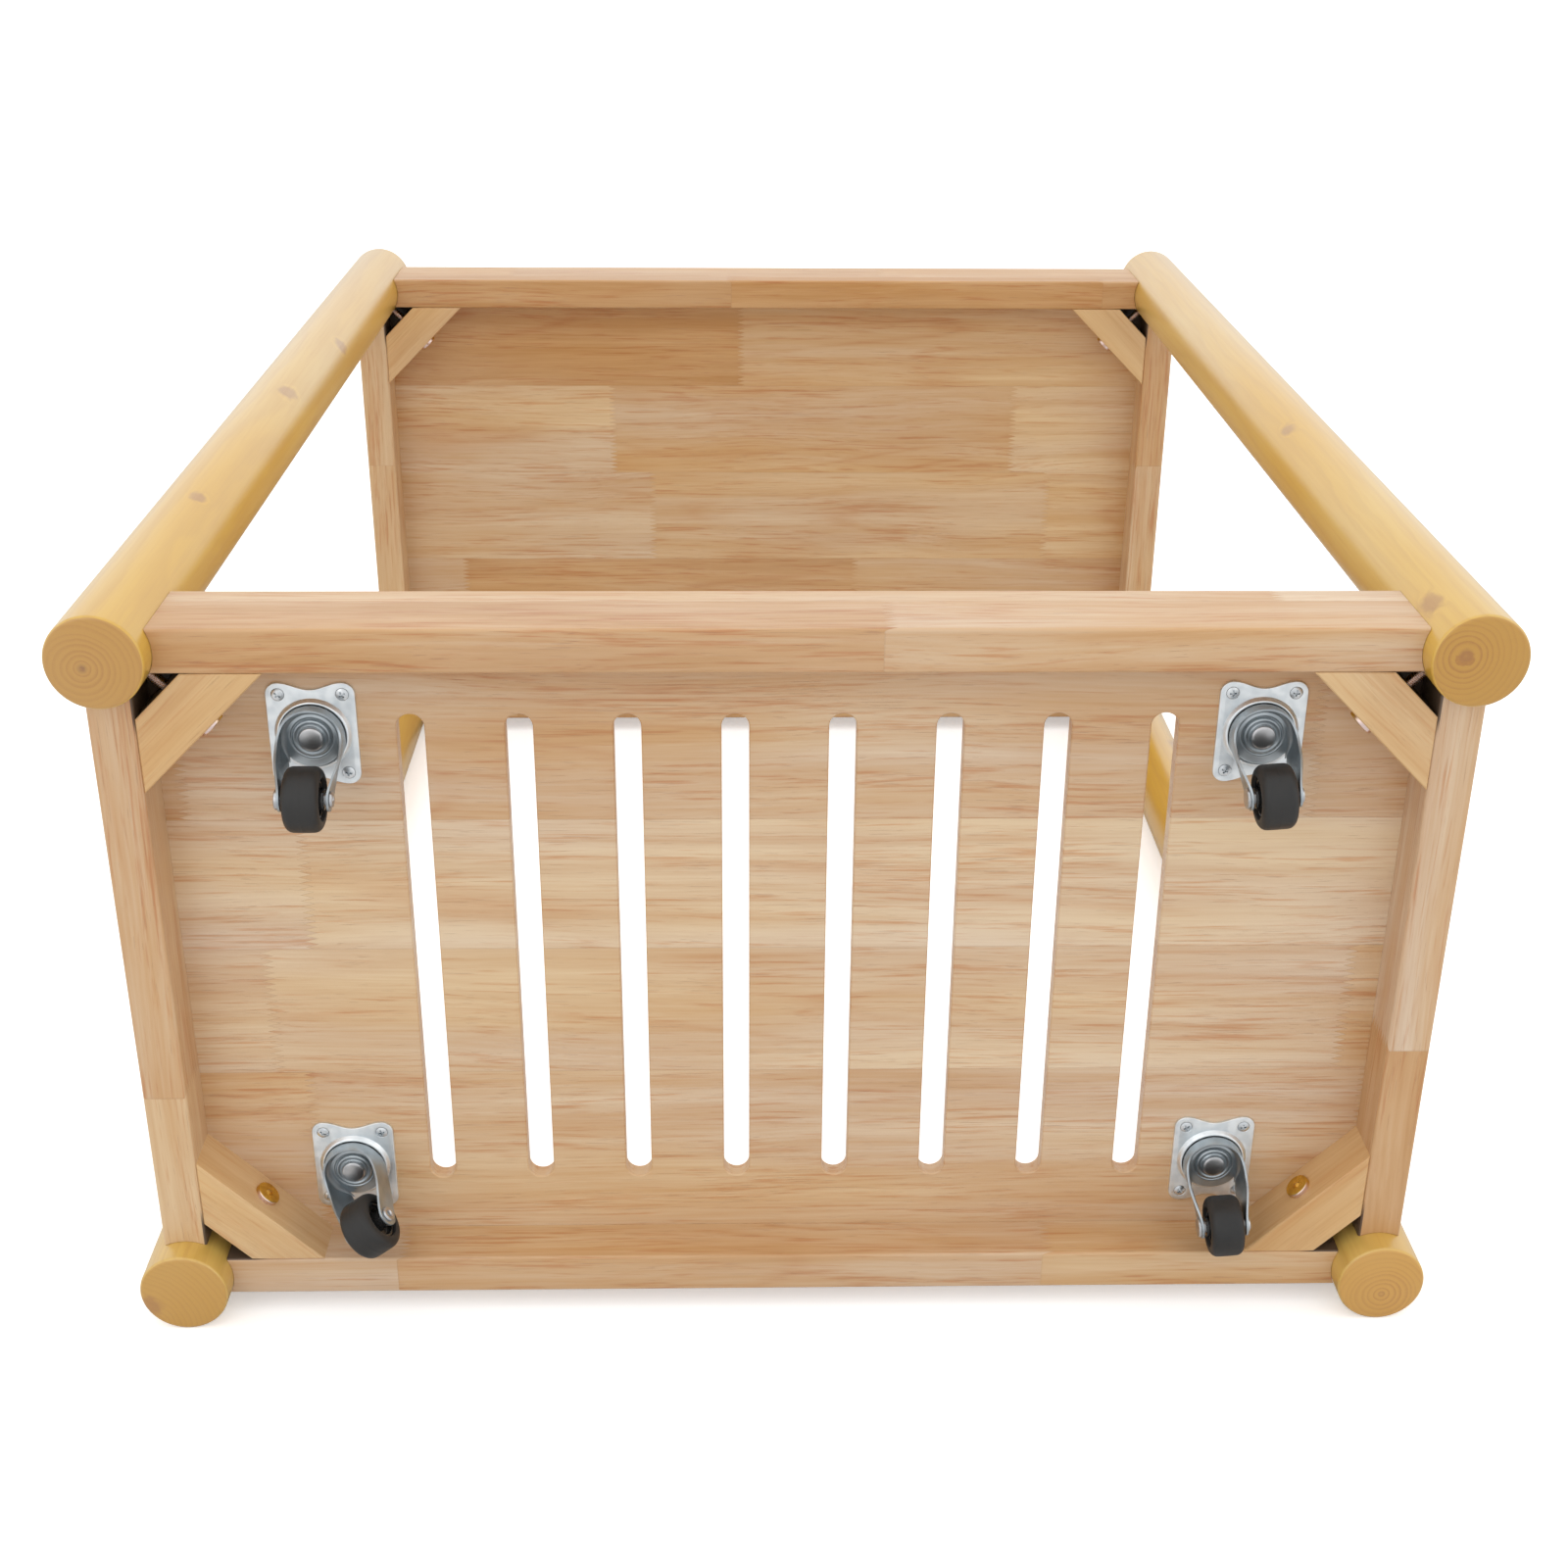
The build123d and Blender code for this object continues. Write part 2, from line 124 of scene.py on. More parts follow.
def makeStudio():
    world = bpy.data.worlds.new("studioWorld")
    world.use_nodes = True
    backdrop = world.node_tree.nodes["Background"]
    backdrop.inputs["Color"].default_value = studioSettings["worldColour"]
    backdrop.inputs["Strength"].default_value = studioSettings["worldStrength"]
    scene.world = world
    scene.view_settings.view_transform = "Standard"

    bm = bmesh.new()
    bmesh.ops.create_grid(bm, x_segments=1, y_segments=1, size=studioSettings["floorSize"] / 2)
    mesh = bpy.data.meshes.new("studioFloor")
    bm.to_mesh(mesh)
    bm.free()
    floor = bpy.data.objects.new("studioFloor", mesh)
    floor.location.z = cadLow.z
    scene.collection.objects.link(floor)
    paint, tree, shader, place = newMaterial("floorPaint")
    ray = addNode(tree, "ShaderNodeLightPath").outputs["Is Camera Ray"]
    colour = mixColours(tree, ray, studioSettings["floorBounce"], studioSettings["floorColour"])
    look = {
        "Base Color": colour,
        "Roughness": studioSettings["floorRoughness"],
        "Specular IOR Level": studioSettings["floorSpecular"],
        "Emission Color": (1, 1, 1, 1),
        "Emission Strength": times(tree, ray, studioSettings["floorLift"]),
    }
    feed(tree, shader, look)
    mesh.materials.append(paint)

    for name, place, target, width, height, power in studioSettings["softBoxes"]:
        data = bpy.data.lights.new(name, "AREA")
        data.shape = "RECTANGLE"
        data.size = width
        data.size_y = height
        data.energy = power
        light = bpy.data.objects.new(name, data)
        light.location = place
        light.rotation_mode = "QUATERNION"
        light.rotation_quaternion = (Vector(target) - Vector(place)).to_track_quat("-Z", "Y")
        scene.collection.objects.link(light)


# Node helpers


def feed(tree, node, inputs):
    # Links a socket to each input, or sets it to a value
    for socket, value in inputs.items():
        if isinstance(value, bpy.types.NodeSocket):
            tree.links.new(value, node.inputs[socket])
        else:
            node.inputs[socket].default_value = value


def addNode(tree, kind, inputs=None, **settings):
    made = tree.nodes.new(kind)
    for name, value in settings.items():
        setattr(made, name, value)
    feed(tree, made, inputs or {})
    return made


def maths(tree, operation, first, second=0.0, third=0.0, clamp=False):
    made = addNode(tree, "ShaderNodeMath", {0: first, 1: second, 2: third}, operation=operation)
    made.use_clamp = clamp
    return made.outputs[0]


def plus(tree, first, second, clamp=False):
    return maths(tree, "ADD", first, second, clamp=clamp)


def minus(tree, first, second):
    return maths(tree, "SUBTRACT", first, second)


def times(tree, first, second):
    return maths(tree, "MULTIPLY", first, second)


def remap(tree, value, fromLow, fromHigh, toLow=0.0, toHigh=1.0, smooth=False):
    inputs = {"Value": value, "From Min": fromLow, "From Max": fromHigh, "To Min": toLow, "To Max": toHigh}
    kind = "SMOOTHSTEP" if smooth else "LINEAR"
    return addNode(tree, "ShaderNodeMapRange", inputs, interpolation_type=kind).outputs[0]


def stretch(tree, vector, scale):
    return addNode(tree, "ShaderNodeMapping", {"Vector": vector, "Scale": scale}).outputs[0]


def vectorMaths(tree, operation, first, second=(0.0, 0.0, 0.0)):
    # Length and dot product come out as a value, the rest as a vector
    made = addNode(tree, "ShaderNodeVectorMath", {0: first, 1: second}, operation=operation)
    return made.outputs["Value" if operation in ("LENGTH", "DOT_PRODUCT") else "Vector"]


def joinAxes(tree, x=0.0, y=0.0, z=0.0):
    return addNode(tree, "ShaderNodeCombineXYZ", {"X": x, "Y": y, "Z": z}).outputs[0]


def splitAxes(tree, vector):
    return addNode(tree, "ShaderNodeSeparateXYZ", {0: vector}).outputs


def noise(tree, vector, scale=1.0, detail=2.0, roughness=0.5):
    # Takes one scale, or one for each axis
    if isinstance(scale, tuple):
        vector, scale = stretch(tree, vector, scale), 1.0
    inputs = {"Vector": vector, "Scale": scale, "Detail": detail, "Roughness": roughness}
    return addNode(tree, "ShaderNodeTexNoise", inputs).outputs["Fac"]


def mixColours(tree, factor, first, second, blend="MIX"):
    made = addNode(tree, "ShaderNodeMix", data_type="RGBA", blend_type=blend)
    feed(tree, made, {0: factor, 6: first, 7: second})  # the sockets that a colour mix uses
    return made.outputs[2]


# What the groups' sockets carry, where it isn't a number
socketKinds = {"Place": "Vector", "Colour": "Color", "Bright": "Color", "Dull": "Color"}


def newGroup(name, inputs, outputs):
    # Gives the group's tree, the sockets it is given and the node that takes its results
    tree = bpy.data.node_groups.new(name, "ShaderNodeTree")
    for side, sockets in (("INPUT", inputs), ("OUTPUT", outputs)):
        for socket in sockets:
            kind = "NodeSocket" + socketKinds.get(socket, "Float")
            tree.interface.new_socket(socket, in_out=side, socket_type=kind)
    return tree, addNode(tree, "NodeGroupInput").outputs, addNode(tree, "NodeGroupOutput")


def useGroup(tree, group, inputs):
    made = addNode(tree, "ShaderNodeGroup", node_tree=group)
    feed(tree, made, inputs)
    return made.outputs


def newMaterial(name):
    material = bpy.data.materials.new(name)
    material.use_nodes = True
    tree = material.node_tree
    shader = tree.nodes["Principled BSDF"]
    place = addNode(tree, "ShaderNodeTexCoord").outputs["Object"]
    return material, tree, shader, place


def bumpFrom(tree, height, distance):
    inputs = {"Height": height, "Distance": distance, "Strength": 1.0}
    return addNode(tree, "ShaderNodeBump", inputs).outputs[0]


def lacquer(tree, shader, colour, gloss, height, settings):
    look = {
        "Base Color": colour,
        "Roughness": gloss,
        "Normal": bumpFrom(tree, height, settings["relief"]),
        "Coat Weight": settings["coat"],
        "Coat Roughness": settings["coatRoughness"],
    }
    feed(tree, shader, look)


makeStudio()
print("camera and studio made")

# Wood: one group draws straight-grained hardwood, with its grain along X

grainSettings = {
    "tones": [
        (0.0, (0.730, 0.580, 0.430, 1)),
        (0.35, (0.640, 0.460, 0.310, 1)),
        (0.65, (0.585, 0.365, 0.200, 1)),
        (1.0, (0.500, 0.275, 0.115, 1)),
    ],
    "golden": (1.04, 0.96, 0.74, 1),  # patches that are more yellow
    "figureLine": (0.88, 0.70, 0.56, 1),
    "streak": (0.86, 0.64, 0.50, 1),
    "pore": (0.36, 0.17, 0.095, 1),
    "drift": 0.028,  # how far the grain wanders off straight
    "bandDepth": 0.26,
    "cloudDepth": 0.16,
    "fibreDepth": 0.13,
}


def makeGrainGroup():
    # Tone runs from 0, pale, to 1, dark. Figure brings out wavy lines, and Streaks dark marks and pores.
    inputs = ["Place", "Seed", "Tone", "Figure", "Streaks"]
    tree, given, result = newGroup("hardwoodGrain", inputs, ["Colour", "Height", "Gloss"])
    shift = times(tree, given["Seed"], 1.37)
    moved = vectorMaths(tree, "ADD", given["Place"], joinAxes(tree, shift, given["Seed"], shift))
    wander = noise(tree, moved, (2.2, 9, 9))
    drift = times(tree, wander, grainSettings["drift"])
    bent = vectorMaths(tree, "ADD", moved, joinAxes(tree, y=drift, z=drift))

    bands = noise(tree, bent, (2.4, 70, 70), detail=3.0, roughness=0.6)
    clouds = noise(tree, bent, (5.0, 13, 13))
    fibres = noise(tree, bent, (13, 520, 520), detail=3.0, roughness=0.6)
    streaks = noise(tree, bent, (16, 430, 430), detail=3.0, roughness=0.6)
    pores = noise(tree, bent, (27, 1500, 1500))
    hue = noise(tree, bent, (1.7, 14, 14))
    clusters = noise(tree, bent, (4.0, 50, 50))
    contour = noise(tree, moved, (0.9, 8.0, 8.0), detail=1.0)

    streakLimit = remap(tree, clusters, 0.3, 0.7, 0.62, 0.46)
    streakMask = remap(tree, minus(tree, streaks, streakLimit), 0.0, 0.16)
    poreLimit = remap(tree, clusters, 0.3, 0.7, 0.70, 0.62)
    poreMask = remap(tree, minus(tree, pores, poreLimit), 0.0, 0.05)
    line = maths(tree, "PINGPONG", times(tree, contour, 15.0), 0.5)
    lineMask = remap(tree, line, 0.0, 0.14, 1.0, 0.0)
    figured = times(tree, given["Figure"], remap(tree, clouds, 0.45, 0.6))
    lineShare = times(tree, times(tree, lineMask, figured), 0.55)
    hueShare = remap(tree, hue, 0.36, 0.64, 0.0, 0.85)
    streakShare = times(tree, streakMask, given["Streaks"])
    poreShare = times(tree, poreMask, times(tree, given["Streaks"], 0.4))

    tone = given["Tone"]
    for pattern, depth in ((bands, "bandDepth"), (clouds, "cloudDepth"), (fibres, "fibreDepth")):
        depth = grainSettings[depth]
        tone = plus(tree, tone, remap(tree, pattern, 0.25, 0.75, -depth, depth))
    ramp = addNode(tree, "ShaderNodeValToRGB", {"Fac": tone})
    while len(ramp.color_ramp.elements) < len(grainSettings["tones"]):
        ramp.color_ramp.elements.new(0.5)
    for element, (position, colour) in zip(ramp.color_ramp.elements, grainSettings["tones"]):
        element.position = position
        element.color = colour
    colour = ramp.outputs[0]
    for share, tint in ((hueShare, "golden"), (lineShare, "figureLine"), (streakShare, "streak")):
        colour = mixColours(tree, share, colour, grainSettings[tint], "MULTIPLY")
    colour = mixColours(tree, poreShare, colour, grainSettings["pore"])
    height = minus(tree, times(tree, fibres, 0.35), times(tree, poreMask, 0.6))
    gloss = plus(tree, remap(tree, fibres, 0.2, 0.8, 0.36, 0.46), times(tree, poreMask, 0.1))
    feed(tree, result, {"Colour": colour, "Height": height, "Gloss": gloss})
    return tree


grainGroup = makeGrainGroup()

# Glued stock: rows of boards, each row cut into lengths by finger joints

gluedSettings = {
    "fingerLength": 0.008,
    "fingerPitch": 0.0042,
    "jointLine": 0.00035,
    "seamLine": 0.00025,
    "lineColour": (0.33, 0.17, 0.09, 1),
    "lineShare": 0.14,
    "yellowed": (0.90, 0.74, 0.22, 1),
    "railFigure": 0.5,
    "panelFigure": 0.9,
    "streaks": 0.9,
    "relief": 0.00012,
    "coat": 0.3,
    "coatRoughness": 0.3,
}


def makeGluedGroup():
    # Along runs down the grain and Across over the rows. A row's joints lie every Length from Joint.
    inputs = ["Along", "Across", "Joint", "Length"]
    tree, given, result = newGroup("fingerJoints", inputs, ["Board", "Line"])
    pitch = gluedSettings["fingerPitch"]
    tooth = maths(tree, "PINGPONG", given["Across"], pitch / 2)
    reach = times(tree, tooth, gluedSettings["fingerLength"] / (pitch / 2))
    along = plus(tree, given["Along"], reach)
    along = minus(tree, along, given["Joint"])
    share = maths(tree, "DIVIDE", along, given["Length"])
    rest = times(tree, maths(tree, "FRACT", share), given["Length"])
    width = gluedSettings["jointLine"] * gluedSettings["fingerLength"] / pitch
    line = maths(tree, "LESS_THAN", rest, width)
    feed(tree, result, {"Board": maths(tree, "FLOOR", share), "Line": line})
    return tree


gluedGroup = makeGluedGroup()
middleZ = middleOf("base_panel_slotted").z

pocketSettings = {
    "reach": {1: 0.044, -1: 0.060, 0: 0.060},  # how far from a post's axis the dark goes, for each side
    "facing": {1: 0.3, -1: 0.9},
    "fade": 0.014,
    "depth": 0.88,
    "colour": (0.05, 0.03, 0.02, 1),
}


def pocketShade(tree, place, colour, side):
    # Darkens the pocket between a post and its brace, where no light gets in. side: 1 for faces
    # turned to the frame's middle, -1 for faces turned to the post, 0 for all.
    post = middleOf("post_upper_right")
    parts = splitAxes(tree, place)
    fromMiddle = minus(tree, parts["Z"], middleZ)
    aside = minus(tree, maths(tree, "ABSOLUTE", parts["X"]), post.x)
    above = minus(tree, maths(tree, "ABSOLUTE", fromMiddle), post.z - middleZ)
    distance = vectorMaths(tree, "LENGTH", joinAxes(tree, aside, 0.0, above))
    reach = pocketSettings["reach"][side]
    fade = reach + pocketSettings["fade"]
    shade = remap(tree, distance, reach, fade, pocketSettings["depth"], 0.0, smooth=True)
    level = 0.0
    for frameEnd in frameEnds:
        front, back = (edge.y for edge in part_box(f"{frameEnd}_brace_upper_right"))
        beside = maths(tree, "COMPARE", parts["Y"], (front + back) / 2, (back - front) / 2 + 0.001)
        level = plus(tree, beside, level)
    shade = times(tree, shade, level)
    if side:
        outward = vectorMaths(tree, "NORMALIZE", joinAxes(tree, parts["X"], 0.0, fromMiddle))
        normal = addNode(tree, "ShaderNodeNewGeometry").outputs["True Normal"]
        inward = times(tree, vectorMaths(tree, "DOT_PRODUCT", normal, outward), -side)
        facing = maths(tree, "GREATER_THAN", inward, pocketSettings["facing"][side])
        shade = times(tree, shade, facing)
    return mixColours(tree, shade, colour, pocketSettings["colour"])


def woodMaterial(name, along, across, rows, length, figure, warmth, pocketSide):
    # rows: (where the row starts across the grain, where its joint lies, two tones, taken in turn)
    material, tree, shader, place = newMaterial(name)
    parts = splitAxes(tree, place)
    grainAxis = parts["XYZ".index(along)]
    rowAxis = parts["XYZ".index(across)]
    otherAxis = parts["XYZ".index(({"X", "Y", "Z"} - {along, across}).pop())]

    joint, (evenTone, oddTone) = rows[0][1:]
    rowNumber = 0.0
    seam = 0.0
    for (_, oldJoint, oldTones), (start, newJoint, newTones) in zip(rows, rows[1:]):
        past = maths(tree, "GREATER_THAN", rowAxis, start)
        rowNumber = plus(tree, past, rowNumber)
        joint = plus(tree, times(tree, past, newJoint - oldJoint), joint)
        evenTone = plus(tree, times(tree, past, newTones[0] - oldTones[0]), evenTone)
        oddTone = plus(tree, times(tree, past, newTones[1] - oldTones[1]), oddTone)
        seam = plus(tree, maths(tree, "COMPARE", rowAxis, start, gluedSettings["seamLine"]), seam)
    inputs = {"Along": grainAxis, "Across": rowAxis, "Joint": joint, "Length": length}
    glued = useGroup(tree, gluedGroup, inputs)
    odd = maths(tree, "PINGPONG", glued["Board"], 1.0)
    tone = plus(tree, evenTone, times(tree, odd, minus(tree, oddTone, evenTone)))
    seed = plus(tree, times(tree, rowNumber, 3.7), times(tree, glued["Board"], 1.9))
    inputs = {
        "Place": joinAxes(tree, grainAxis, rowAxis, otherAxis),
        "Seed": plus(tree, seed, len(name) * 0.61),
        "Tone": tone,
        "Figure": figure,
        "Streaks": gluedSettings["streaks"],
    }
    grain = useGroup(tree, grainGroup, inputs)
    lines = plus(tree, glued["Line"], seam, clamp=True)
    lineShare = times(tree, lines, gluedSettings["lineShare"])
    colour = mixColours(tree, lineShare, grain["Colour"], gluedSettings["lineColour"])
    colour = mixColours(tree, warmth, colour, gluedSettings["yellowed"], "MULTIPLY")
    height = minus(tree, grain["Height"], times(tree, lines, 0.5))
    colour = pocketShade(tree, place, colour, pocketSide)
    lacquer(tree, shader, colour, grain["Gloss"], height, gluedSettings)
    return material


# length between joints, and the rows
woodLook = {
    "nearUpper": (1.6, [(-1.0, 0.062, (0.50, 0.72)), (-0.468, 0.30, (0.24, 0.50))]),
    "nearLower": (0.434, [(-1.0, -0.253, (0.50, 0.42)), (-0.478, 0.10, (0.50, 0.40))]),
    "nearLeftSide": (0.60, [(-1.0, -0.075, (0.52, 0.34)), (-0.470, 0.09, (0.30, 0.42))]),
    "nearRightSide": (0.60, [(-1.0, -0.044, (0.40, 0.74)), (-0.470, 0.09, (0.28, 0.40))]),
    "farUpper": (0.375, [(-1.0, -0.034, (0.98, 0.80)), (0.478, 0.12, (0.64, 0.70))]),
    "farLower": (0.42, [(-1.0, 0.15, (0.55, 0.65)), (0.478, -0.2, (0.50, 0.60))]),
    "farSide": (0.48, [(-1.0, 0.05, (0.42, 0.34)), (0.478, 0.2, (0.45, 0.3))]),
    "nearPanel": (
        0.70,
        [
            (-1.0, -0.31, (0.44, 0.52)),
            (middleZ - 0.086, -0.33, (0.30, 0.38)),
            (middleZ + 0.007, -0.30, (0.14, 0.26)),
            (middleZ + 0.099, 0.33, (0.62, 0.44)),
        ],
    ),
    "farPanel": (
        0.42,
        [
            (-1.0, 0.10, (0.50, 0.66)),
            (middleZ - 0.066, 0.303, (0.34, 0.42)),
            (middleZ + 0.030, 0.263, (0.28, 0.48)),
            (middleZ + 0.123, -0.023, (0.46, 0.84)),
        ],
    ),
}
farWarmth = 0.16  # the deck end has yellowed more


def makeWoods():
    woods = {}
    for name, (length, rows) in woodLook.items():
        along, across, figure, pocketSide = "X", "Y", gluedSettings["railFigure"], 1
        if name.endswith("Side"):
            along = "Z"
            rows = [(start, middleZ + joint, tones) for start, joint, tones in rows]
        elif name.endswith("Panel"):
            across, figure, pocketSide = "Z", gluedSettings["panelFigure"], 0
        warmth = farWarmth if name.startswith("far") else 0.0
        woods[name] = woodMaterial(name + "Wood", along, across, rows, length, figure, warmth, pocketSide)
    return woods


woods = makeWoods()

# Braces are cut from one board each, with the grain along the diagonal

braceSettings = {
    "tone": 0.22,
    "figure": 0.2,
    "streaks": 0.45,
    "amber": (0.95, 0.80, 0.52, 1),
    "warmth": 0.75,
    "relief": 0.00012,
    "coat": 0.12,
    "coatRoughness": 0.3,
}


def braceMaterial(name, rising, seed):
    material, tree, shader, place = newMaterial(name)
    turn = {"Vector": place, "Rotation": (0, math.radians(45 if rising else -45), 0)}
    inputs = {"Place": addNode(tree, "ShaderNodeMapping", turn).outputs[0], "Seed": seed}
    inputs.update({name.title(): braceSettings[name] for name in ("tone", "figure", "streaks")})
    grain = useGroup(tree, grainGroup, inputs)
    colour = mixColours(tree, braceSettings["warmth"], grain["Colour"], braceSettings["amber"], "MULTIPLY")
    colour = pocketShade(tree, place, colour, -1)
    lacquer(tree, shader, colour, grain["Gloss"], grain["Height"], braceSettings)
    return material


# Posts: lacquered pine, ring by ring about a pith that lies off the middle

postSettings = {
    "endRound": 0.0025,
    "segments": 96,
    "roundSegments": 5,
    "ringWidth": 0.0036,
    "pale": (0.68, 0.445, 0.11, 1),
    "rich": (0.66, 0.375, 0.025, 1),
    "sawn": (0.495, 0.250, 0.052, 1),  # the ends' colour between the rings
    "lateWood": (0.37, 0.145, 0.03, 1),
    "pithColour": (0.20, 0.09, 0.045, 1),
    "streak": (0.56, 0.29, 0.06, 1),
    "knot": (0.36, 0.155, 0.05, 1),
    "relief": 0.0001,
    "coat": 1.0,
    "coatRoughness": 0.32,
    "pith": {
        "upper_left": (-0.006, -0.003),
        "upper_right": (-0.010, 0.004),
        "lower_left": (-0.034, -0.026),
        "lower_right": (0.001, -0.008),
    },
    # corner: (place from the caster end, turn round the post from its top, radius, share of the way out)
    "knots": {
        "upper_left": [(0.51, 30, 0.009, 1.0), (0.70, 55, 0.008, 1.0), (0.23, 20, 0.006, 1.0)],
        "upper_right": [(0.0, -68, 0.0048, 0.37), (0.042, -44, 0.008, 1.0), (0.41, -35, 0.007, 1.0)],
        "lower_left": [(0.0, 247, 0.0085, 0.84), (0.63, 70, 0.008, 1.0)],
        "lower_right": [(0.33, -70, 0.008, 1.0), (0.83, 40, 0.009, 1.0), (0.09, 150, 0.007, 1.0)],
    },
    "endTint": {
        "upper_left": (0.98, 0.96, 0.95, 1),
        "upper_right": (0.97, 0.93, 0.56, 1),
        "lower_left": (1.06, 1.08, 0.98, 1),
        "lower_right": (1.14, 1.14, 1.06, 1),
    },
    "pithDepth": {"upper_left": 0.95, "upper_right": 0.35, "lower_left": 0.0, "lower_right": 0.2},
}


def makePineGroup():
    # Place is centred on the pith, with the trunk along Y. Knots, Pith and EndGrain are masks.
    inputs = ["Place", "Seed", "Knots", "Pith", "EndGrain"]
    tree, given, result = newGroup("pineRings", inputs, ["Colour", "Height", "Gloss"])
    moved = vectorMaths(tree, "ADD", given["Place"], joinAxes(tree, y=given["Seed"]))
    lean = noise(tree, moved, (6, 1.6, 6))
    ripple = noise(tree, moved, (45, 9, 45))
    tone = noise(tree, moved, (11, 2.2, 11))
    streaks = noise(tree, moved, (430, 11, 430), detail=3.0, roughness=0.6)

    # How far out from the pith, made uneven so that the rings wander and differ in width
    radius = vectorMaths(tree, "LENGTH", vectorMaths(tree, "MULTIPLY", given["Place"], (1.0, 0.0, 1.0)))
    for pattern, depth in ((lean, 0.016), (ripple, 0.0034), (given["Knots"], 0.004)):
        radius = plus(tree, radius, times(tree, pattern, depth))
    uneven = noise(tree, joinAxes(tree, radius, given["Seed"]), scale=170.0, detail=1.0)
    radius = plus(tree, radius, times(tree, uneven, 0.0046))
    ring = maths(tree, "FRACT", maths(tree, "DIVIDE", radius, postSettings["ringWidth"]))
    darkening = remap(tree, ring, 0.35, 0.9, smooth=True)
    late = times(tree, darkening, remap(tree, ring, 0.9, 1.0, 1.0, 0.0))

    # Rings show faintly along the trunk, and clearly on the ends near the pith
    sideShare = 0.13
    nearPith = remap(tree, radius, 0.014, 0.036, 0.85, 0.25)
    endShare = times(tree, nearPith, remap(tree, tone, 0.35, 0.6, 0.4, 1.0))
    lateShare = times(tree, given["EndGrain"], minus(tree, endShare, sideShare))
    pithShare = remap(tree, radius, 0.0115, 0.0165, 1.0, 0.0, smooth=True)
    layers = [
        ("rich", remap(tree, tone, 0.3, 0.7, smooth=True)),
        ("sawn", times(tree, given["EndGrain"], 0.8)),
        ("lateWood", times(tree, late, plus(tree, lateShare, sideShare))),
        ("pithColour", times(tree, times(tree, pithShare, given["Pith"]), given["EndGrain"])),
        ("streak", remap(tree, streaks, 0.45, 0.75, 0.0, 0.34)),
        ("knot", remap(tree, given["Knots"], 0.25, 0.9, 0.0, 0.62, smooth=True)),
    ]
    colour = postSettings["pale"]
    for name, share in layers:
        colour = mixColours(tree, share, colour, postSettings[name])
    height = minus(tree, times(tree, streaks, 0.3), times(tree, late, 0.25))
    gloss = remap(tree, streaks, 0.2, 0.8, 0.30, 0.40)
    feed(tree, result, {"Colour": colour, "Height": height, "Gloss": gloss})
    return tree


pineGroup = makePineGroup()


def postMaterial(corner):
    low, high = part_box(f"post_{corner}")
    middle = middleOf(f"post_{corner}")
    radius = (high.x - low.x) / 2
    pithX, pithZ = postSettings["pith"][corner]
    material, tree, shader, place = newMaterial(f"pinePost_{corner}")
    centring = {"Vector": place, "Location": (-middle.x - pithX, 0, -middle.z - pithZ)}
    ragged = noise(tree, place, (150, 90, 150))
    knots = 0.0
    for along, turn, size, out in postSettings["knots"][corner]:
        outward = Vector((math.sin(math.radians(turn)), 0, math.cos(math.radians(turn))))
        spot = Vector((middle.x, low.y + along, middle.z)) + outward * radius * out
        offset = vectorMaths(tree, "SUBTRACT", place, tuple(spot))
        distance = vectorMaths(tree, "LENGTH", stretch(tree, offset, (1.0, 0.6, 1.0)))
        distance = plus(tree, distance, times(tree, ragged, size))
        knot = remap(tree, distance, size * 0.6, size * 2.2, 1.0, 0.0, smooth=True)
        knots = plus(tree, knot, knots)
    normal = addNode(tree, "ShaderNodeNewGeometry").outputs["Normal"]
    facing = splitAxes(tree, normal)["Y"]
    endGrain = maths(tree, "GREATER_THAN", maths(tree, "ABSOLUTE", facing), 0.8)
    inputs = {
        "Place": addNode(tree, "ShaderNodeMapping", centring).outputs[0],
        "Seed": corners.index(corner) * 2.3,
        "Knots": knots,
        "Pith": postSettings["pithDepth"][corner],
        "EndGrain": endGrain,
    }
    pine = useGroup(tree, pineGroup, inputs)
    colour = mixColours(tree, endGrain, pine["Colour"], postSettings["endTint"][corner], "MULTIPLY")
    lacquer(tree, shader, colour, pine["Gloss"], pine["Height"], postSettings)
    return material


# Metals, rubber and plastic: bright where they are clean, and duller in soft patches

# bright colour, dull colour, roughness of each, how close the patches lie
surfaceLook = {
    "brightZinc": ((0.47, 0.52, 0.55, 1), (0.39, 0.435, 0.465, 1), (0.38, 0.45), 90),
    "plateZinc": ((0.86, 0.90, 0.92, 1), (0.73, 0.78, 0.81, 1), (0.35, 0.42), 150),
    "screwZinc": ((0.78, 0.81, 0.83, 1), (0.60, 0.64, 0.67, 1), (0.28, 0.40), 160),
    "rivetSteel": ((0.58, 0.58, 0.59, 1), (0.46, 0.47, 0.48, 1), (0.30, 0.35), 140),
    "yellowZinc": ((0.76, 0.51, 0.09, 1), (0.60, 0.36, 0.06, 1), (0.25, 0.42), 160),
    "treadRubber": ((0.019, 0.019, 0.019, 1), (0.027, 0.026, 0.025, 1), (0.44, 0.58), 60),
    "blackPlastic": ((0.012, 0.012, 0.012, 1), (0.018, 0.018, 0.018, 1), (0.12, 0.26), 80),
}
paintedRimReflection = (0.80, 0.64, 0.62, 1)  # painted pinkish-silver reflection on the yellow plating's faces that turn along the posts, round the rims of the bolts
darkSpecular = {"treadRubber": 0.4, "blackPlastic": 0.6}
darkRelief = 0.00003
darkCloseness = 6.0  # how much closer the relief's grains lie than the patches


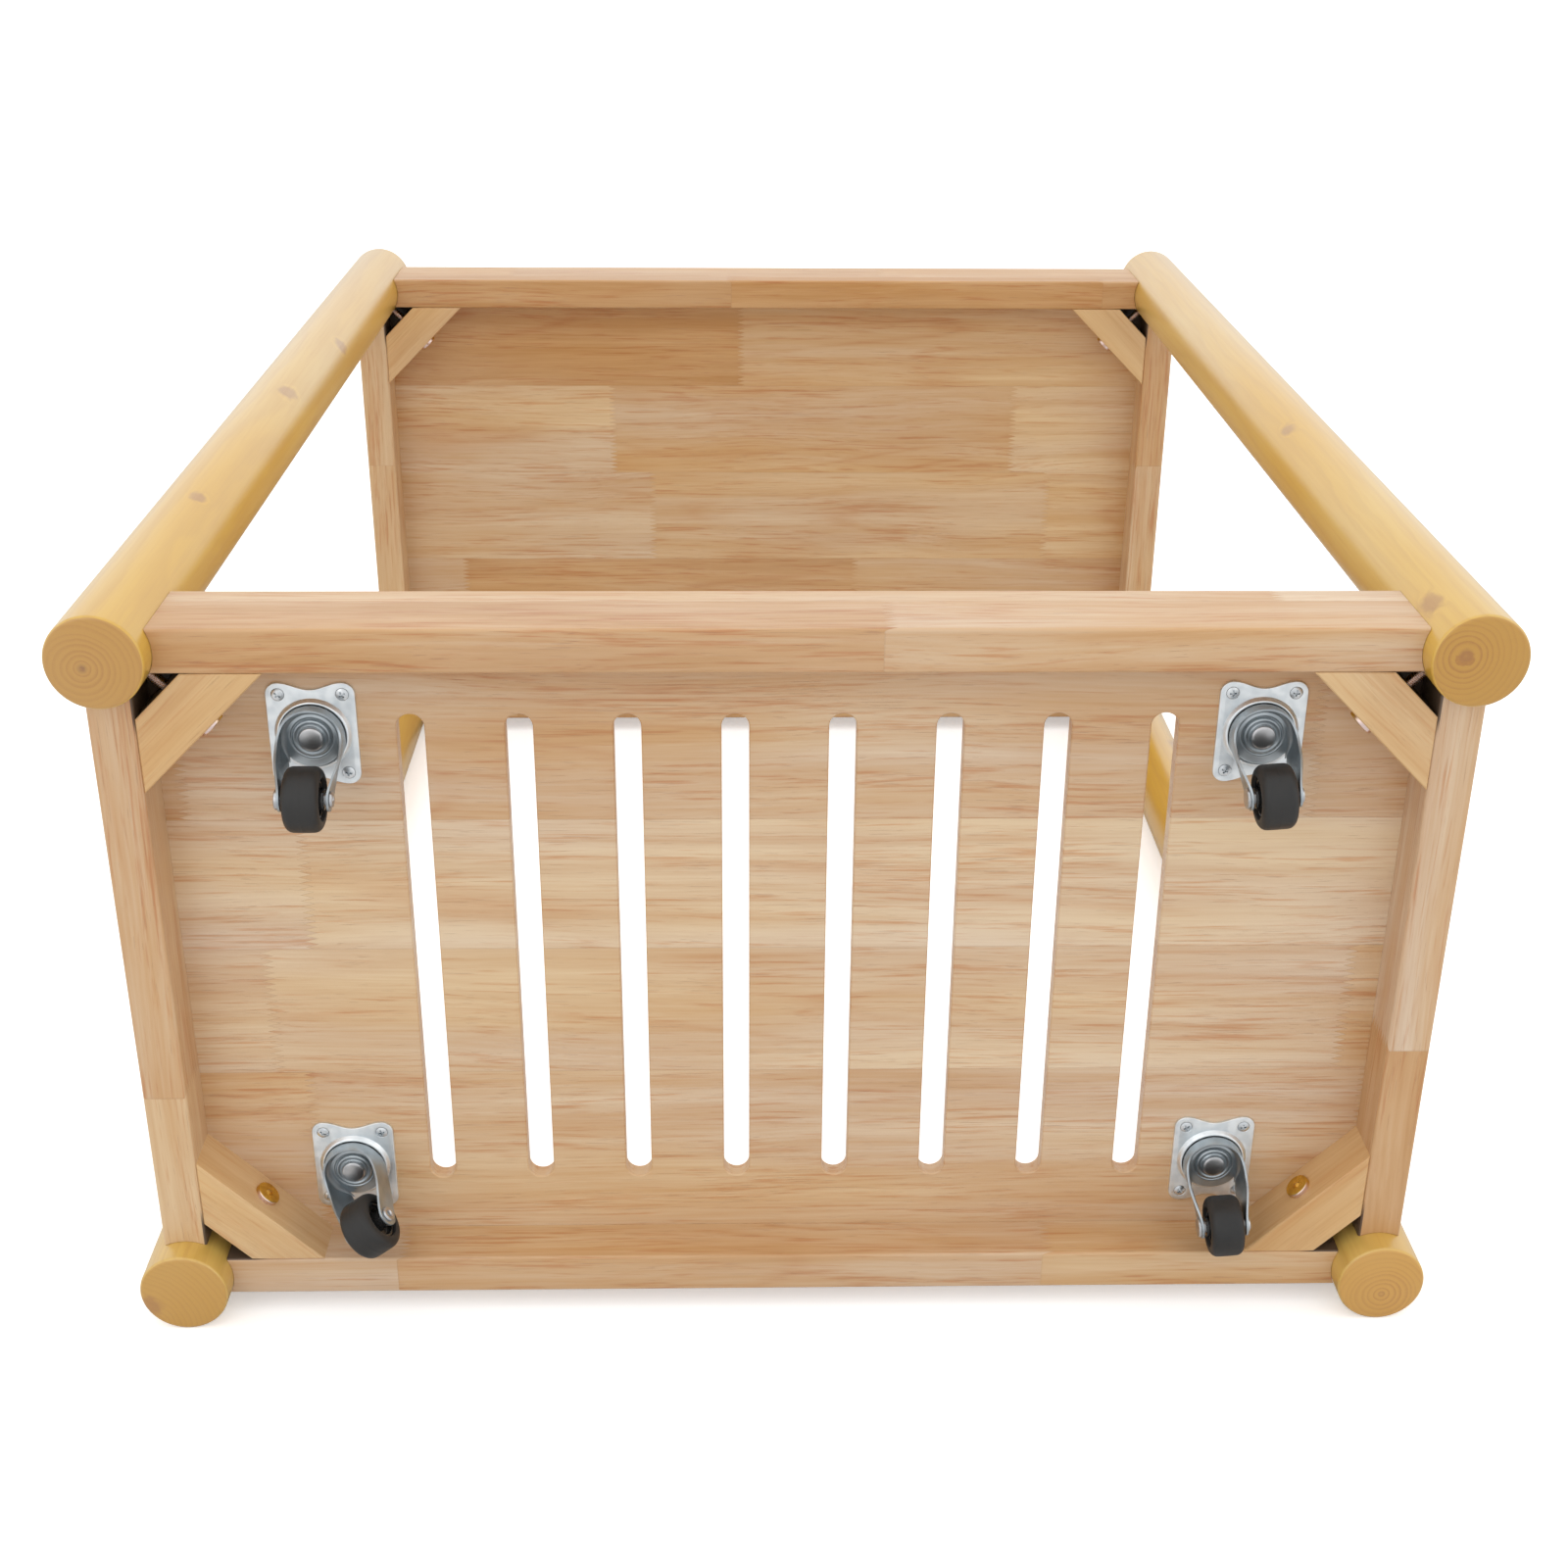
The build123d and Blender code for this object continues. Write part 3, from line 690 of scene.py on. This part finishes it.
def makeWearGroup():
    inputs = ["Place", "Bright", "Dull", "Scale"]
    tree, given, result = newGroup("platedWear", inputs, ["Colour", "Mask"])
    cloud = noise(tree, given["Place"], scale=given["Scale"], detail=1.0)
    mask = remap(tree, cloud, 0.3, 0.7, smooth=True)
    feed(tree, result, {"Colour": mixColours(tree, mask, given["Bright"], given["Dull"]), "Mask": mask})
    return tree


wearGroup = makeWearGroup()


def surfaceMaterial(name, bright, dull, roughness, scale):
    material, tree, shader, place = newMaterial(name)
    wear = useGroup(tree, wearGroup, {"Place": place, "Bright": bright, "Dull": dull, "Scale": scale})
    look = {"Base Color": wear["Colour"], "Roughness": remap(tree, wear["Mask"], 0.0, 1.0, *roughness)}
    if name in darkSpecular:
        relief = noise(tree, place, scale=scale * darkCloseness, detail=1.0)
        look["Normal"] = bumpFrom(tree, relief, darkRelief)
        look["Specular IOR Level"] = darkSpecular[name]
    else:
        look["Metallic"] = 1.0
    # Painted reflection: faces of the yellow plating turned along the posts are tinted pinkish silver
    if name == "yellowZinc":
        normal = addNode(tree, "ShaderNodeNewGeometry").outputs["Normal"]
        alongPosts = maths(tree, "ABSOLUTE", splitAxes(tree, normal)["Y"])
        rim = remap(tree, alongPosts, 0.3, 0.8, 0.0, 0.95)
        look["Base Color"] = mixColours(tree, rim, wear["Colour"], paintedRimReflection)
    feed(tree, shader, look)
    return material


surfaces = {name: surfaceMaterial(name, *look) for name, look in surfaceLook.items()}
print("materials made")

# Piece helpers


sharpAngle = 32  # degrees between two faces, from which their edge is shaded as sharp


def finishPiece(bm, name, body, material, nodes):
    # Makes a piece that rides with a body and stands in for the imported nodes
    limit = math.radians(sharpAngle)
    for face in bm.faces:
        face.smooth = True
    for edge in bm.edges:
        edge.smooth = len(edge.link_faces) == 2 and edge.calc_face_angle() < limit
    mesh = bpy.data.meshes.new(name)
    bm.to_mesh(mesh)
    bm.free()
    mesh.materials.append(material)
    piece = bpy.data.objects.new(name, mesh)
    scene.collection.objects.link(piece)
    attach(piece, body)
    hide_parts(*nodes)


def copyNode(node):
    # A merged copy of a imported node, with its flat faces whole again
    bm = bmesh.new()
    bm.from_mesh(frame["nodes"][node].data)
    bmesh.ops.remove_doubles(bm, verts=bm.verts[:], dist=1e-6)
    bmesh.ops.dissolve_limit(bm, angle_limit=math.radians(0.4), verts=bm.verts[:], edges=bm.edges[:])
    return bm


def sharpEdges(bm, angle):
    limit = math.radians(angle)
    return [e for e in bm.edges if len(e.link_faces) == 2 and e.calc_face_angle() > limit]


def bevelEdges(bm, edges, width, segments=2, clamp=True):
    way = {"offset_type": "OFFSET", "affect": "EDGES", "profile": 0.5, "material": -1}
    bmesh.ops.bevel(bm, geom=edges, offset=width, segments=segments, clamp_overlap=clamp, **way)


aboutZ = {"cent": (0, 0, 0), "axis": (0, 0, 1)}


def turned(points, steps=64, ring=False):
    # Spins an outline of (radius, height) points about Z. A ring's outline is closed first.
    bm = bmesh.new()
    made = [bm.verts.new((radius, 0, height)) for radius, height in points]
    for first, second in zip(made, made[1:]):
        bm.edges.new((first, second))
    if ring:
        bm.edges.new((made[-1], made[0]))
    bmesh.ops.spin(bm, geom=bm.verts[:] + bm.edges[:], angle=fullTurn, steps=steps, use_merge=True, **aboutZ)
    bmesh.ops.remove_doubles(bm, verts=bm.verts[:], dist=1e-6)
    bmesh.ops.recalc_face_normals(bm, faces=bm.faces[:])
    return bm


def arcPoints(centre, radius, start, end, count):
    # Points round an arc, from one angle to another in degrees
    found = []
    for index in range(count + 1):
        angle = math.radians(start + (end - start) * index / count)
        found.append((centre[0] + radius * math.cos(angle), centre[1] + radius * math.sin(angle)))
    return found


def domePoints(rimRadius, rimHeight, rise, count=8):
    # From the rim of a shallow dome to its crown
    radius = (rimRadius**2 + rise**2) / (2 * rise)
    half = math.degrees(math.asin(rimRadius / radius))
    return arcPoints((0, rimHeight + rise - radius), radius, 90 - half, 90, count)


def makeCone(foot, top, depth, segments, place):
    # A closed cone or rod along Z, by its two radii
    bm = bmesh.new()
    shape = {"radius1": foot, "radius2": top, "depth": depth, "segments": segments}
    bmesh.ops.create_cone(bm, cap_ends=True, matrix=place, **shape)
    return bm


def moveMesh(bm, matrix):
    bmesh.ops.transform(bm, matrix=matrix, verts=bm.verts[:])


def joinInto(target, source):
    mesh = bpy.data.meshes.new("joining")
    source.to_mesh(mesh)
    source.free()
    target.from_mesh(mesh)
    bpy.data.meshes.remove(mesh)


# Posts


def makePost(corner):
    low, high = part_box(f"post_{corner}")
    radius = (high.x - low.x) / 2
    bm = makeCone(radius, radius, high.y - low.y, postSettings["segments"], Matrix())
    bevelEdges(bm, sharpEdges(bm, 45), postSettings["endRound"], postSettings["roundSegments"], clamp=False)
    place = Matrix.Translation(middleOf(f"post_{corner}"))
    moveMesh(bm, place @ Matrix.Rotation(math.radians(90), 4, "X"))
    finishPiece(bm, f"roundPost_{corner}", "frame", postMaterial(corner), [f"post_{corner}"])


for corner in corners:
    makePost(corner)

# Rails, panels and braces

timber = {
    "base_long_rail_upper": "nearUpper",
    "base_long_rail_lower": "nearLower",
    "base_short_rail_left": "nearLeftSide",
    "base_short_rail_right": "nearRightSide",
    "deck_long_rail_upper": "farUpper",
    "deck_long_rail_lower": "farLower",
    "deck_short_rail_left": "farSide",
    "deck_short_rail_right": "farSide",
    "base_panel_slotted": "nearPanel",
    "deck_panel": "farPanel",
}
for node, wood in timber.items():
    slot = "rail_wood" if "_rail" in node else "panel_wood"
    name = node.replace("_rail", "_railPiece").replace("_panel", "_panelBoard")
    finishPiece(copyNode(node), name, "frame", woods[wood], [node])

for endIndex, frameEnd in enumerate(frameEnds):
    for cornerIndex, corner in enumerate(corners):
        node = f"{frameEnd}_brace_{corner}"
        rising = corner in ("upper_left", "lower_right")
        seed = 1.3 + endIndex * 5 + cornerIndex * 1.7
        wood = braceMaterial(f"braceWood_{frameEnd}_{corner}", rising, seed)
        finishPiece(copyNode(node), f"{frameEnd}_cornerBrace_{corner}", "frame", wood, [node])
print("timber made")

# Casters. Each piece is drawn in millimetres round the swivel axis, which is its Z, with the axle
# along X and the wheel trailing towards -Y, and is then moved to its corner.

millimetre = 0.001
joints = {joint["name"]: joint for joint in frame["joints"]}
swivelPlace = Vector(joints["swivel_turn_upper_left"]["pos_m"])
wheelPlace = Vector(joints["wheel_spin_upper_left"]["pos_m"])
axleHeight = (swivelPlace.y - wheelPlace.y) / millimetre
axleTrail = math.hypot(swivelPlace.x - wheelPlace.x, swivelPlace.z - wheelPlace.z) / millimetre
onAxle = Matrix.Translation((0, -axleTrail, axleHeight)) @ Matrix.Rotation(math.radians(90), 4, "Y")


def fromDrawing(spot, across, up):
    # Moves a drawing's zero to the spot, and turns its X to across and its Z to up
    turn = Matrix((across, up.cross(across), up)).transposed().to_4x4()
    return Matrix.Translation(spot) @ turn @ Matrix.Scale(millimetre, 4)


def casterPlace(corner, swung=True):
    across = joints[f"wheel_spin_{corner}"]["axis"] if swung else (1, 0, 0)
    return fromDrawing(joints[f"swivel_turn_{corner}"]["pos_m"], Vector(across), Vector((0, -1, 0)))


def cutAway(bm, cutter):
    # Cuts one closed shape out of another
    pair = []
    for source in (bm, cutter):
        mesh = bpy.data.meshes.new("cutting")
        source.to_mesh(mesh)
        pair.append(bpy.data.objects.new("cutting", mesh))
        scene.collection.objects.link(pair[-1])
    modifier = pair[0].modifiers.new("cut", "BOOLEAN")
    modifier.solver = "EXACT"
    modifier.object = pair[1]
    bpy.context.view_layer.update()
    result = bpy.data.meshes.new_from_object(pair[0].evaluated_get(bpy.context.evaluated_depsgraph_get()))
    cutter.free()
    bm.clear()
    bm.from_mesh(result)
    bpy.data.meshes.remove(result)
    for piece in pair:
        bpy.data.meshes.remove(piece.data)


def mirrored(points):
    # The outline, then the same outline back again below height zero
    return points + [(radius, -height) for radius, height in reversed(points) if height > 0]


# Caster plates, with the raised race that the fork's balls run in

plateSettings = {
    "width": 54.0,
    "length": 67.0,
    "thickness": 2.0,
    "earRadius": 7.5,
    "waistDepth": 4.6,
    "holeInset": 7.6,
    "sinkRadius": 4.15,
    "edgeRound": 0.5,
    # radius and height of the race's outline
    "race": [(23.5, 1.9), (23.0, 2.6), (22.3, 3.5), (21.8, 4.2), (21.3, 4.52)]
    + [(20.8, 4.6), (20.4, 4.5), (20.0, 4.1), (19.3, 3.2), (18.0, 1.9)],
}
holeX = plateSettings["width"] / 2 - plateSettings["holeInset"]
holeY = plateSettings["length"] / 2 - plateSettings["holeInset"]
screwPlaces = [(x, y) for x in (-holeX, holeX) for y in (-holeY, holeY)]


def drawPlate():
    thickness = plateSettings["thickness"]
    bm = bmesh.new()
    bmesh.ops.create_cube(bm, size=1.0)
    bmesh.ops.scale(bm, vec=(plateSettings["width"], plateSettings["length"], thickness), verts=bm.verts[:])
    bmesh.ops.translate(bm, vec=(0, 0, thickness / 2), verts=bm.verts[:])
    upright = [e for e in bm.edges if abs(e.verts[0].co.z - e.verts[1].co.z) > thickness / 2]
    bevelEdges(bm, upright, plateSettings["earRadius"], 10)
    halfSpan = plateSettings["width"] / 2 - plateSettings["earRadius"]
    ends = [e for e in bm.edges if abs(abs(e.verts[0].co.x - e.verts[1].co.x) - 2 * halfSpan) < 0.01]
    bmesh.ops.subdivide_edges(bm, edges=ends, cuts=19)
    for vert in bm.verts:
        if abs(vert.co.x) < halfSpan:
            dip = plateSettings["waistDepth"] * (1 + math.cos(math.pi * vert.co.x / halfSpan)) / 2
            vert.co.y -= math.copysign(dip, vert.co.y)
    rim = [e for e in sharpEdges(bm, 50) if min(v.co.z for v in e.verts) > thickness / 2]
    bevelEdges(bm, rim, plateSettings["edgeRound"], 3)
    over = 0.5  # how far each sink's cutter stands out of the plate
    for x, y in screwPlaces:
        place = Matrix.Translation((x, y, thickness / 2))
        radius = plateSettings["sinkRadius"]
        cutAway(bm, makeCone(radius - thickness - over, radius + over, thickness + 2 * over, 40, place))
    joinInto(bm, turned(plateSettings["race"], steps=96, ring=True))
    return bm


# Cross-head screws

screwSettings = {
    "headRadius": 3.9,
    "shankRadius": 1.9,
    "tip": -10.0,
    "point": 2.0,
    "dome": 0.9,
    "crossLength": 5.2,
    "crossWidth": 1.35,
    "crossFloor": 1.3,
    "crossTop": 3.5,
    "crossDraft": 0.55,  # the floor's size as a share of the mouth's
    "turns": (12, 51, 78, 33, 64, 5, 40, 83, 22, 57, 71, 15, 47, 29, 66, 8),
}


def drawScrew():
    top = plateSettings["thickness"]
    tip, shank, head = (screwSettings[name] for name in ("tip", "shankRadius", "headRadius"))
    neck = tip + screwSettings["point"]
    outline = [(0, tip), (shank, neck), (shank, top - head + shank), (head - 0.1, top - 0.1)]
    outline += domePoints(head - 0.05, top, screwSettings["dome"])
    bm = turned(outline, steps=32)
    for angle in (0, 90):
        wing = bmesh.new()
        bmesh.ops.create_cube(wing, size=1.0)
        for vert in wing.verts:
            share = 1.0 if vert.co.z > 0 else screwSettings["crossDraft"]
            vert.co.x *= screwSettings["crossLength"] * share
            vert.co.y *= screwSettings["crossWidth"] * share
            vert.co.z = screwSettings["crossTop" if vert.co.z > 0 else "crossFloor"]
        moveMesh(wing, Matrix.Rotation(math.radians(angle), 4, "Z"))
        cutAway(bm, wing)
    return bm


# Forks: a dished cap, and one wall that runs round it and down into the two legs

forkSettings = {
    "capRadius": 20.0,
    "wall": 1.4,
    "frontFoot": (4.2, 13.0),
    "backFoot": (-17.0, 5.2),
    "legOuter": 15.3,
    "shoulder": -3.0,  # where the legs start to draw in, and where they have done
    "knee": -21.0,
    "endRadius": 7.5,
    "footEase": 8.0,
    "edgeRound": 0.4,
    "tipColumns": 8,
    "legColumns": 16,
    "backColumns": 40,
    "rows": 14,
    "filletRadius": 4.6,
    "filletSteps": 9,
    "filletFloor": 7.1,
    "filletEnd": -18.0,
    "dish": [(5.2, 5.3), (19.2, 5.3), (19.2, 6.9), (18.4, 7.2), (15.2, 7.25)]
    + [(14.2, 7.6), (13.6, 7.75), (13.0, 7.6), (12.6, 7.2), (5.2, 7.0)],
}
axleSpot = Vector((-axleTrail, axleHeight))


def touchPoint(foot, side):
    # Where a straight edge from a leg's foot meets its round end
    radius = forkSettings["endRadius"]
    reach = (axleSpot - foot).length
    direction = (axleSpot - foot).normalized()
    direction.rotate(Matrix.Rotation(side * math.asin(radius / reach), 2))
    return foot + direction * math.sqrt(reach**2 - radius**2)


def edgeHeight(y, foot, touch, side):
    # Level, eased into a straight rise at the foot, then round
    if y >= touch.x:
        slope = (touch.y - foot.y) / (foot.x - touch.x)
        ease = forkSettings["footEase"]
        past = min(max((foot.x + ease - y) / (2 * ease), 0), 1)
        return foot.y + slope * (past * past * ease + max(foot.x - ease - y, 0))
    rest = max(forkSettings["endRadius"] ** 2 - (y - axleSpot.x) ** 2, 0)
    return axleSpot.y + side * math.sqrt(rest)


def halfWidth(y):
    # The fork is as wide as its cap, and its legs draw in below it
    shoulder, knee, cap, leg = (forkSettings[name] for name in ("shoulder", "knee", "capRadius", "legOuter"))
    share = min(max((y - shoulder) / (knee - shoulder), 0), 1)
    return cap + (leg - cap) * share * share * (3 - 2 * share)


def roundFork(lowestY):
    # Steps from one leg, round the back of the cap, to the other: a direction and a set-back along the leg
    radius = forkSettings["endRadius"]
    tips, columns, backs = (forkSettings[name] for name in ("tipColumns", "legColumns", "backColumns"))
    legs = [axleSpot.x - radius * math.cos(math.pi / 2 * index / tips) for index in range(tips)]
    legs += [axleSpot.x * (1 - index / columns) for index in range(columns)]
    legs = [y for y in legs if y >= lowestY]
    turns = [math.pi * index / backs for index in range(backs + 1)]
    back = [(math.cos(angle), math.sin(angle), 0) for angle in turns]
    return [(1, 0, y) for y in legs] + back + [(-1, 0, y) for y in reversed(legs)]


def bentGrid(steps, rows, place):
    # A sheet with a column for each step round the fork, and rows put where place says
    bm = bmesh.new()
    bmesh.ops.create_grid(bm, x_segments=len(steps) - 1, y_segments=rows, size=1.0)
    for vert in bm.verts:
        across, along, y = steps[round((vert.co.x + 1) / 2 * (len(steps) - 1))]
        edgeY = y + forkSettings["capRadius"] * along
        inset, height = place(edgeY, (vert.co.y + 1) / 2)
        half = halfWidth(edgeY) - inset
        vert.co = (half * across, half * along + y, height)
    bmesh.ops.remove_doubles(bm, verts=bm.verts[:], dist=1e-4)
    bmesh.ops.recalc_face_normals(bm, faces=bm.faces[:])
    return bm


def drawForkWall():
    frontFoot = Vector(forkSettings["frontFoot"])
    backFoot = Vector(forkSettings["backFoot"])
    frontTouch = touchPoint(frontFoot, -1)
    backTouch = touchPoint(backFoot, 1)

    def place(y, share):
        low = edgeHeight(y, backFoot, backTouch, -1)
        high = edgeHeight(y, frontFoot, frontTouch, 1)
        return 0, low + (high - low) * share

    bm = bentGrid(roundFork(-100), forkSettings["rows"], place)
    back = max(bm.faces, key=lambda face: face.calc_center_median().y)
    if back.normal.y < 0:
        bmesh.ops.reverse_faces(bm, faces=bm.faces[:])
    bmesh.ops.solidify(bm, geom=bm.faces[:], thickness=forkSettings["wall"])
    bevelEdges(bm, sharpEdges(bm, 50), forkSettings["edgeRound"], 3)
    return bm


def drawForkFillet():
    # The round corner between the cap's floor and its wall, which shrinks away down the legs
    radius = forkSettings["filletRadius"]
    corner = Vector((forkSettings["wall"] - 0.2, forkSettings["filletFloor"]))
    curve = arcPoints((radius, radius), radius, 180, 270, forkSettings["filletSteps"])
    section = [Vector(point) for point in curve + [(radius, -0.4), (0, -0.4), curve[0]]]

    def place(y, share):
        size = (y - forkSettings["filletEnd"]) / (forkSettings["shoulder"] - forkSettings["filletEnd"])
        size = min(max(size, 0.08), 1)
        return corner + section[round(share * (len(section) - 1))] * size

    bm = bentGrid(roundFork(forkSettings["filletEnd"]), len(section) - 1, place)
    bmesh.ops.holes_fill(bm, edges=bm.edges[:], sides=0)
    bmesh.ops.recalc_face_normals(bm, faces=bm.faces[:])
    return bm


def drawFork():
    bm = drawForkWall()
    joinInto(bm, drawForkFillet())
    joinInto(bm, turned(forkSettings["dish"], steps=80, ring=True))
    return bm


# Turned parts: radius and height of each outline

kingpinSettings = {
    "crownRadius": 6.2,
    "crownHeight": 11.4,
    "rise": 0.42,
    "toolMarks": 9,
    "markDepth": 0.045,
}


def kingpinCrown():
    # A nearly flat head, with the rings that the riveting tool leaves
    points = []
    steps = 2 * kingpinSettings["toolMarks"]
    for index in range(1, steps + 1):
        share = 1 - index / steps
        height = kingpinSettings["crownHeight"] + kingpinSettings["rise"] * (1 - share * share)
        mark = kingpinSettings["markDepth"] * (index % 2)
        points.append((kingpinSettings["crownRadius"] * share, height - mark))
    return points


turnedOutlines = {
    "raceCup": [(5.2, 7.35), (11.4, 7.35), (11.9, 7.5), (12.0, 7.9), (11.7, 8.3), (11.2, 8.75)]
    + [(10.6, 8.9), (10.1, 8.75), (9.7, 8.3), (9.2, 8.15), (8.5, 8.15), (8.1, 8.4), (7.8, 8.8)]
    + [(7.2, 8.9), (5.2, 8.9)],
    "kingpin": [(0, 0), (5.0, 0), (5.0, 8.9), (7.5, 8.9), (7.85, 9.2), (7.85, 9.7)]
    + arcPoints((6.2, 9.9), 1.6, 0, 62, 6)
    + kingpinCrown(),
    "wheelAxle": [(0, -17.5), (3.6, -17.6), (4.8, -17.7), (5.8, -17.55), (6.35, -17.1), (6.5, -16.5)]
    + [(6.35, -15.5), (6.1, -15.3), (2.9, -15.3), (2.9, 15.3), (4.7, 15.3), (5.0, 15.7), (4.95, 16.4)]
    + [(4.5, 17.05), (3.8, 17.3), (3.0, 17.25), (2.3, 16.9), (1.9, 16.3), (1.8, 15.5), (1.8, 13.3)]
    + [(0, 13.3)],
    "wheelCore": mirrored(
        [(3.9, 12.2), (5.9, 12.3), (6.4, 12.0), (6.5, 11.4), (6.7, 6.3), (7.3, 5.6), (9.3, 5.4)]
        + [(10.2, 5.7), (10.7, 6.5), (10.85, 8.5), (11.2, 8.95), (12.5, 9.0), (12.93, 8.7)]
    ),
    "tyre": mirrored(
        [(13.0, 10.3), (13.3, 10.8), (14.0, 11.0)]
        + arcPoints((14.9, 6.0), 5.0, 90, 0, 9)
        + [(19.96, 3.0), (19.97, 0.35), (20.0, 0.2)]
    ),
}


def drawTurned(name):
    if name in ("wheelAxle", "kingpin"):
        return turned(turnedOutlines[name], steps=48)
    return turned(turnedOutlines[name], steps=80, ring=True)


drawings = {name: drawTurned(name) for name in turnedOutlines}
drawings.update({"casterPlate": drawPlate(), "fork": drawFork(), "screw": drawScrew()})
screws = bmesh.new()
for cornerIndex, corner in enumerate(corners):
    fixed = casterPlace(corner, swung=False)
    swung = casterPlace(corner)
    swivel, wheel, rolling = f"swivel_{corner}", f"wheel_{corner}", swung @ onAxle
    castings = [
        ("casterPlate", "caster_plate", fixed, "frame", surfaces["plateZinc"], "bright_zinc"),
        ("raceCup", "race_cup", fixed, "frame", surfaces["brightZinc"], "bright_zinc"),
        ("kingpin", "kingpin", fixed, "frame", surfaces["rivetSteel"], "bright_zinc"),
        ("fork", "fork", swung, swivel, surfaces["brightZinc"], "bright_zinc"),
        ("wheelAxle", "wheel_axle", rolling, swivel, surfaces["rivetSteel"], "bright_zinc"),
        ("wheelCore", "wheel_core", rolling, wheel, surfaces["blackPlastic"], "core_plastic"),
        ("tyre", "tyre", rolling, wheel, surfaces["treadRubber"], "tyre_rubber"),
    ]
    for name, node, place, body, material, slot in castings:
        bm = drawings[name].copy()
        moveMesh(bm, place)
        finishPiece(bm, f"{name}Piece_{corner}", body, material, [f"{node}_{corner}"])
    for index, (x, y) in enumerate(screwPlaces):
        one = drawings["screw"].copy()
        turn = math.radians(screwSettings["turns"][cornerIndex * len(screwPlaces) + index])
        moveMesh(one, fixed @ Matrix.Translation((x, y, 0)) @ Matrix.Rotation(turn, 4, "Z"))
        joinInto(screws, one)
finishPiece(screws, "crossHeadScrews", "frame", surfaces["screwZinc"], ["caster_screws"])
for drawing in drawings.values():
    drawing.free()
print("casters made")

# Corner bolts, also drawn in millimetres, from the seat of the head along Z towards the middle

boltSettings = {
    "headRadius": 8.5,
    "headThickness": 3.2,
    "headBreak": 0.9,
    "tipTaper": 1.2,
    "runOut": 0.6,
    "socketWidth": 5.0,
    "socketDepth": 2.4,
    "coreRadius": 3.2,
    "shankRadius": 3.9,
    "tipFromPost": 9.0,
    "threadPitch": 1.25,
    "threadFromPost": 26.0,
    "threadTurns": 16,
    "threadSteps": 28,
}


def drawBolt(reach):
    # reach is how far the seat of the head lies from the post's axis
    core, shank, rim = (boltSettings[name] for name in ("coreRadius", "shankRadius", "headRadius"))
    pitch, turns = boltSettings["threadPitch"], boltSettings["threadTurns"]
    top, rounding = boltSettings["headThickness"], boltSettings["headBreak"]
    taper, runOut = boltSettings["tipTaper"], boltSettings["runOut"]
    tip = boltSettings["tipFromPost"] - reach
    threadStart = boltSettings["threadFromPost"] - reach
    threadEnd = threadStart + pitch * turns
    outline = [
        (0, tip),
        (shank - taper, tip),
        (shank, tip + taper),
        (shank, threadStart),
        (core, threadStart + runOut),
        (core, threadEnd),
        (shank, threadEnd + runOut),
        (shank, 0),
        (rim, 0),
    ]
    outline += arcPoints((rim - rounding, top - rounding), rounding, 0, 90, 4) + [(0, top)]
    bm = turned(outline, steps=48)
    corner = boltSettings["socketWidth"] / math.sqrt(3)
    cutAway(bm, makeCone(corner, corner, 2 * boltSettings["socketDepth"], 6, Matrix.Translation((0, 0, top))))

    # One closed ridge, wound round the core and sunk a little into it
    thread = bmesh.new()
    root = core - 0.1
    section = [(root, 0), (shank, pitch * 0.40), (shank, pitch * 0.52), (root, pitch * 0.92)]
    made = [thread.verts.new((radius, 0, threadStart + height)) for radius, height in section]
    face = thread.faces.new(made)
    steps = turns * boltSettings["threadSteps"]
    geometry = [face] + list(face.edges) + made
    rise = (0, 0, pitch * (turns - 1) / steps)
    bmesh.ops.spin(thread, geom=geometry, angle=fullTurn * turns, steps=steps, dvec=rise, **aboutZ)
    bmesh.ops.recalc_face_normals(thread, faces=thread.faces[:])
    joinInto(bm, thread)
    return bm


boltLow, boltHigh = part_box("corner_bolts")
bolts = bmesh.new()
drawing = None
for frameEnd in frameEnds:
    for corner in corners:
        seat = middleOf(f"{frameEnd}_brace_{corner}")
        axisSpot = middleOf(f"post_{corner}")
        rim = boltSettings["headRadius"] * millimetre
        seat.y = boltLow.y + rim if frameEnd == "base" else boltHigh.y - rim
        axisSpot.y = seat.y
        if drawing is None:
            drawing = drawBolt((seat - axisSpot).length / millimetre)
        one = drawing.copy()
        moveMesh(one, fromDrawing(seat, Vector((0, 1, 0)), (seat - axisSpot).normalized()))
        joinInto(bolts, one)
drawing.free()
finishPiece(bolts, "cornerBoltSet", "frame", surfaces["yellowZinc"], ["corner_bolts"])

# Nodes whose shape is right as it stands

keptNodes = {"post_inserts": "yellowZinc", "race_balls": "rivetSteel"}
keptNodes.update({f"axle_sleeve_{corner}": "rivetSteel" for corner in corners})
for node, metal in keptNodes.items():
    for held in frame["nodes"][node].material_slots:
        held.material = surfaces[metal]
print("bolts made")
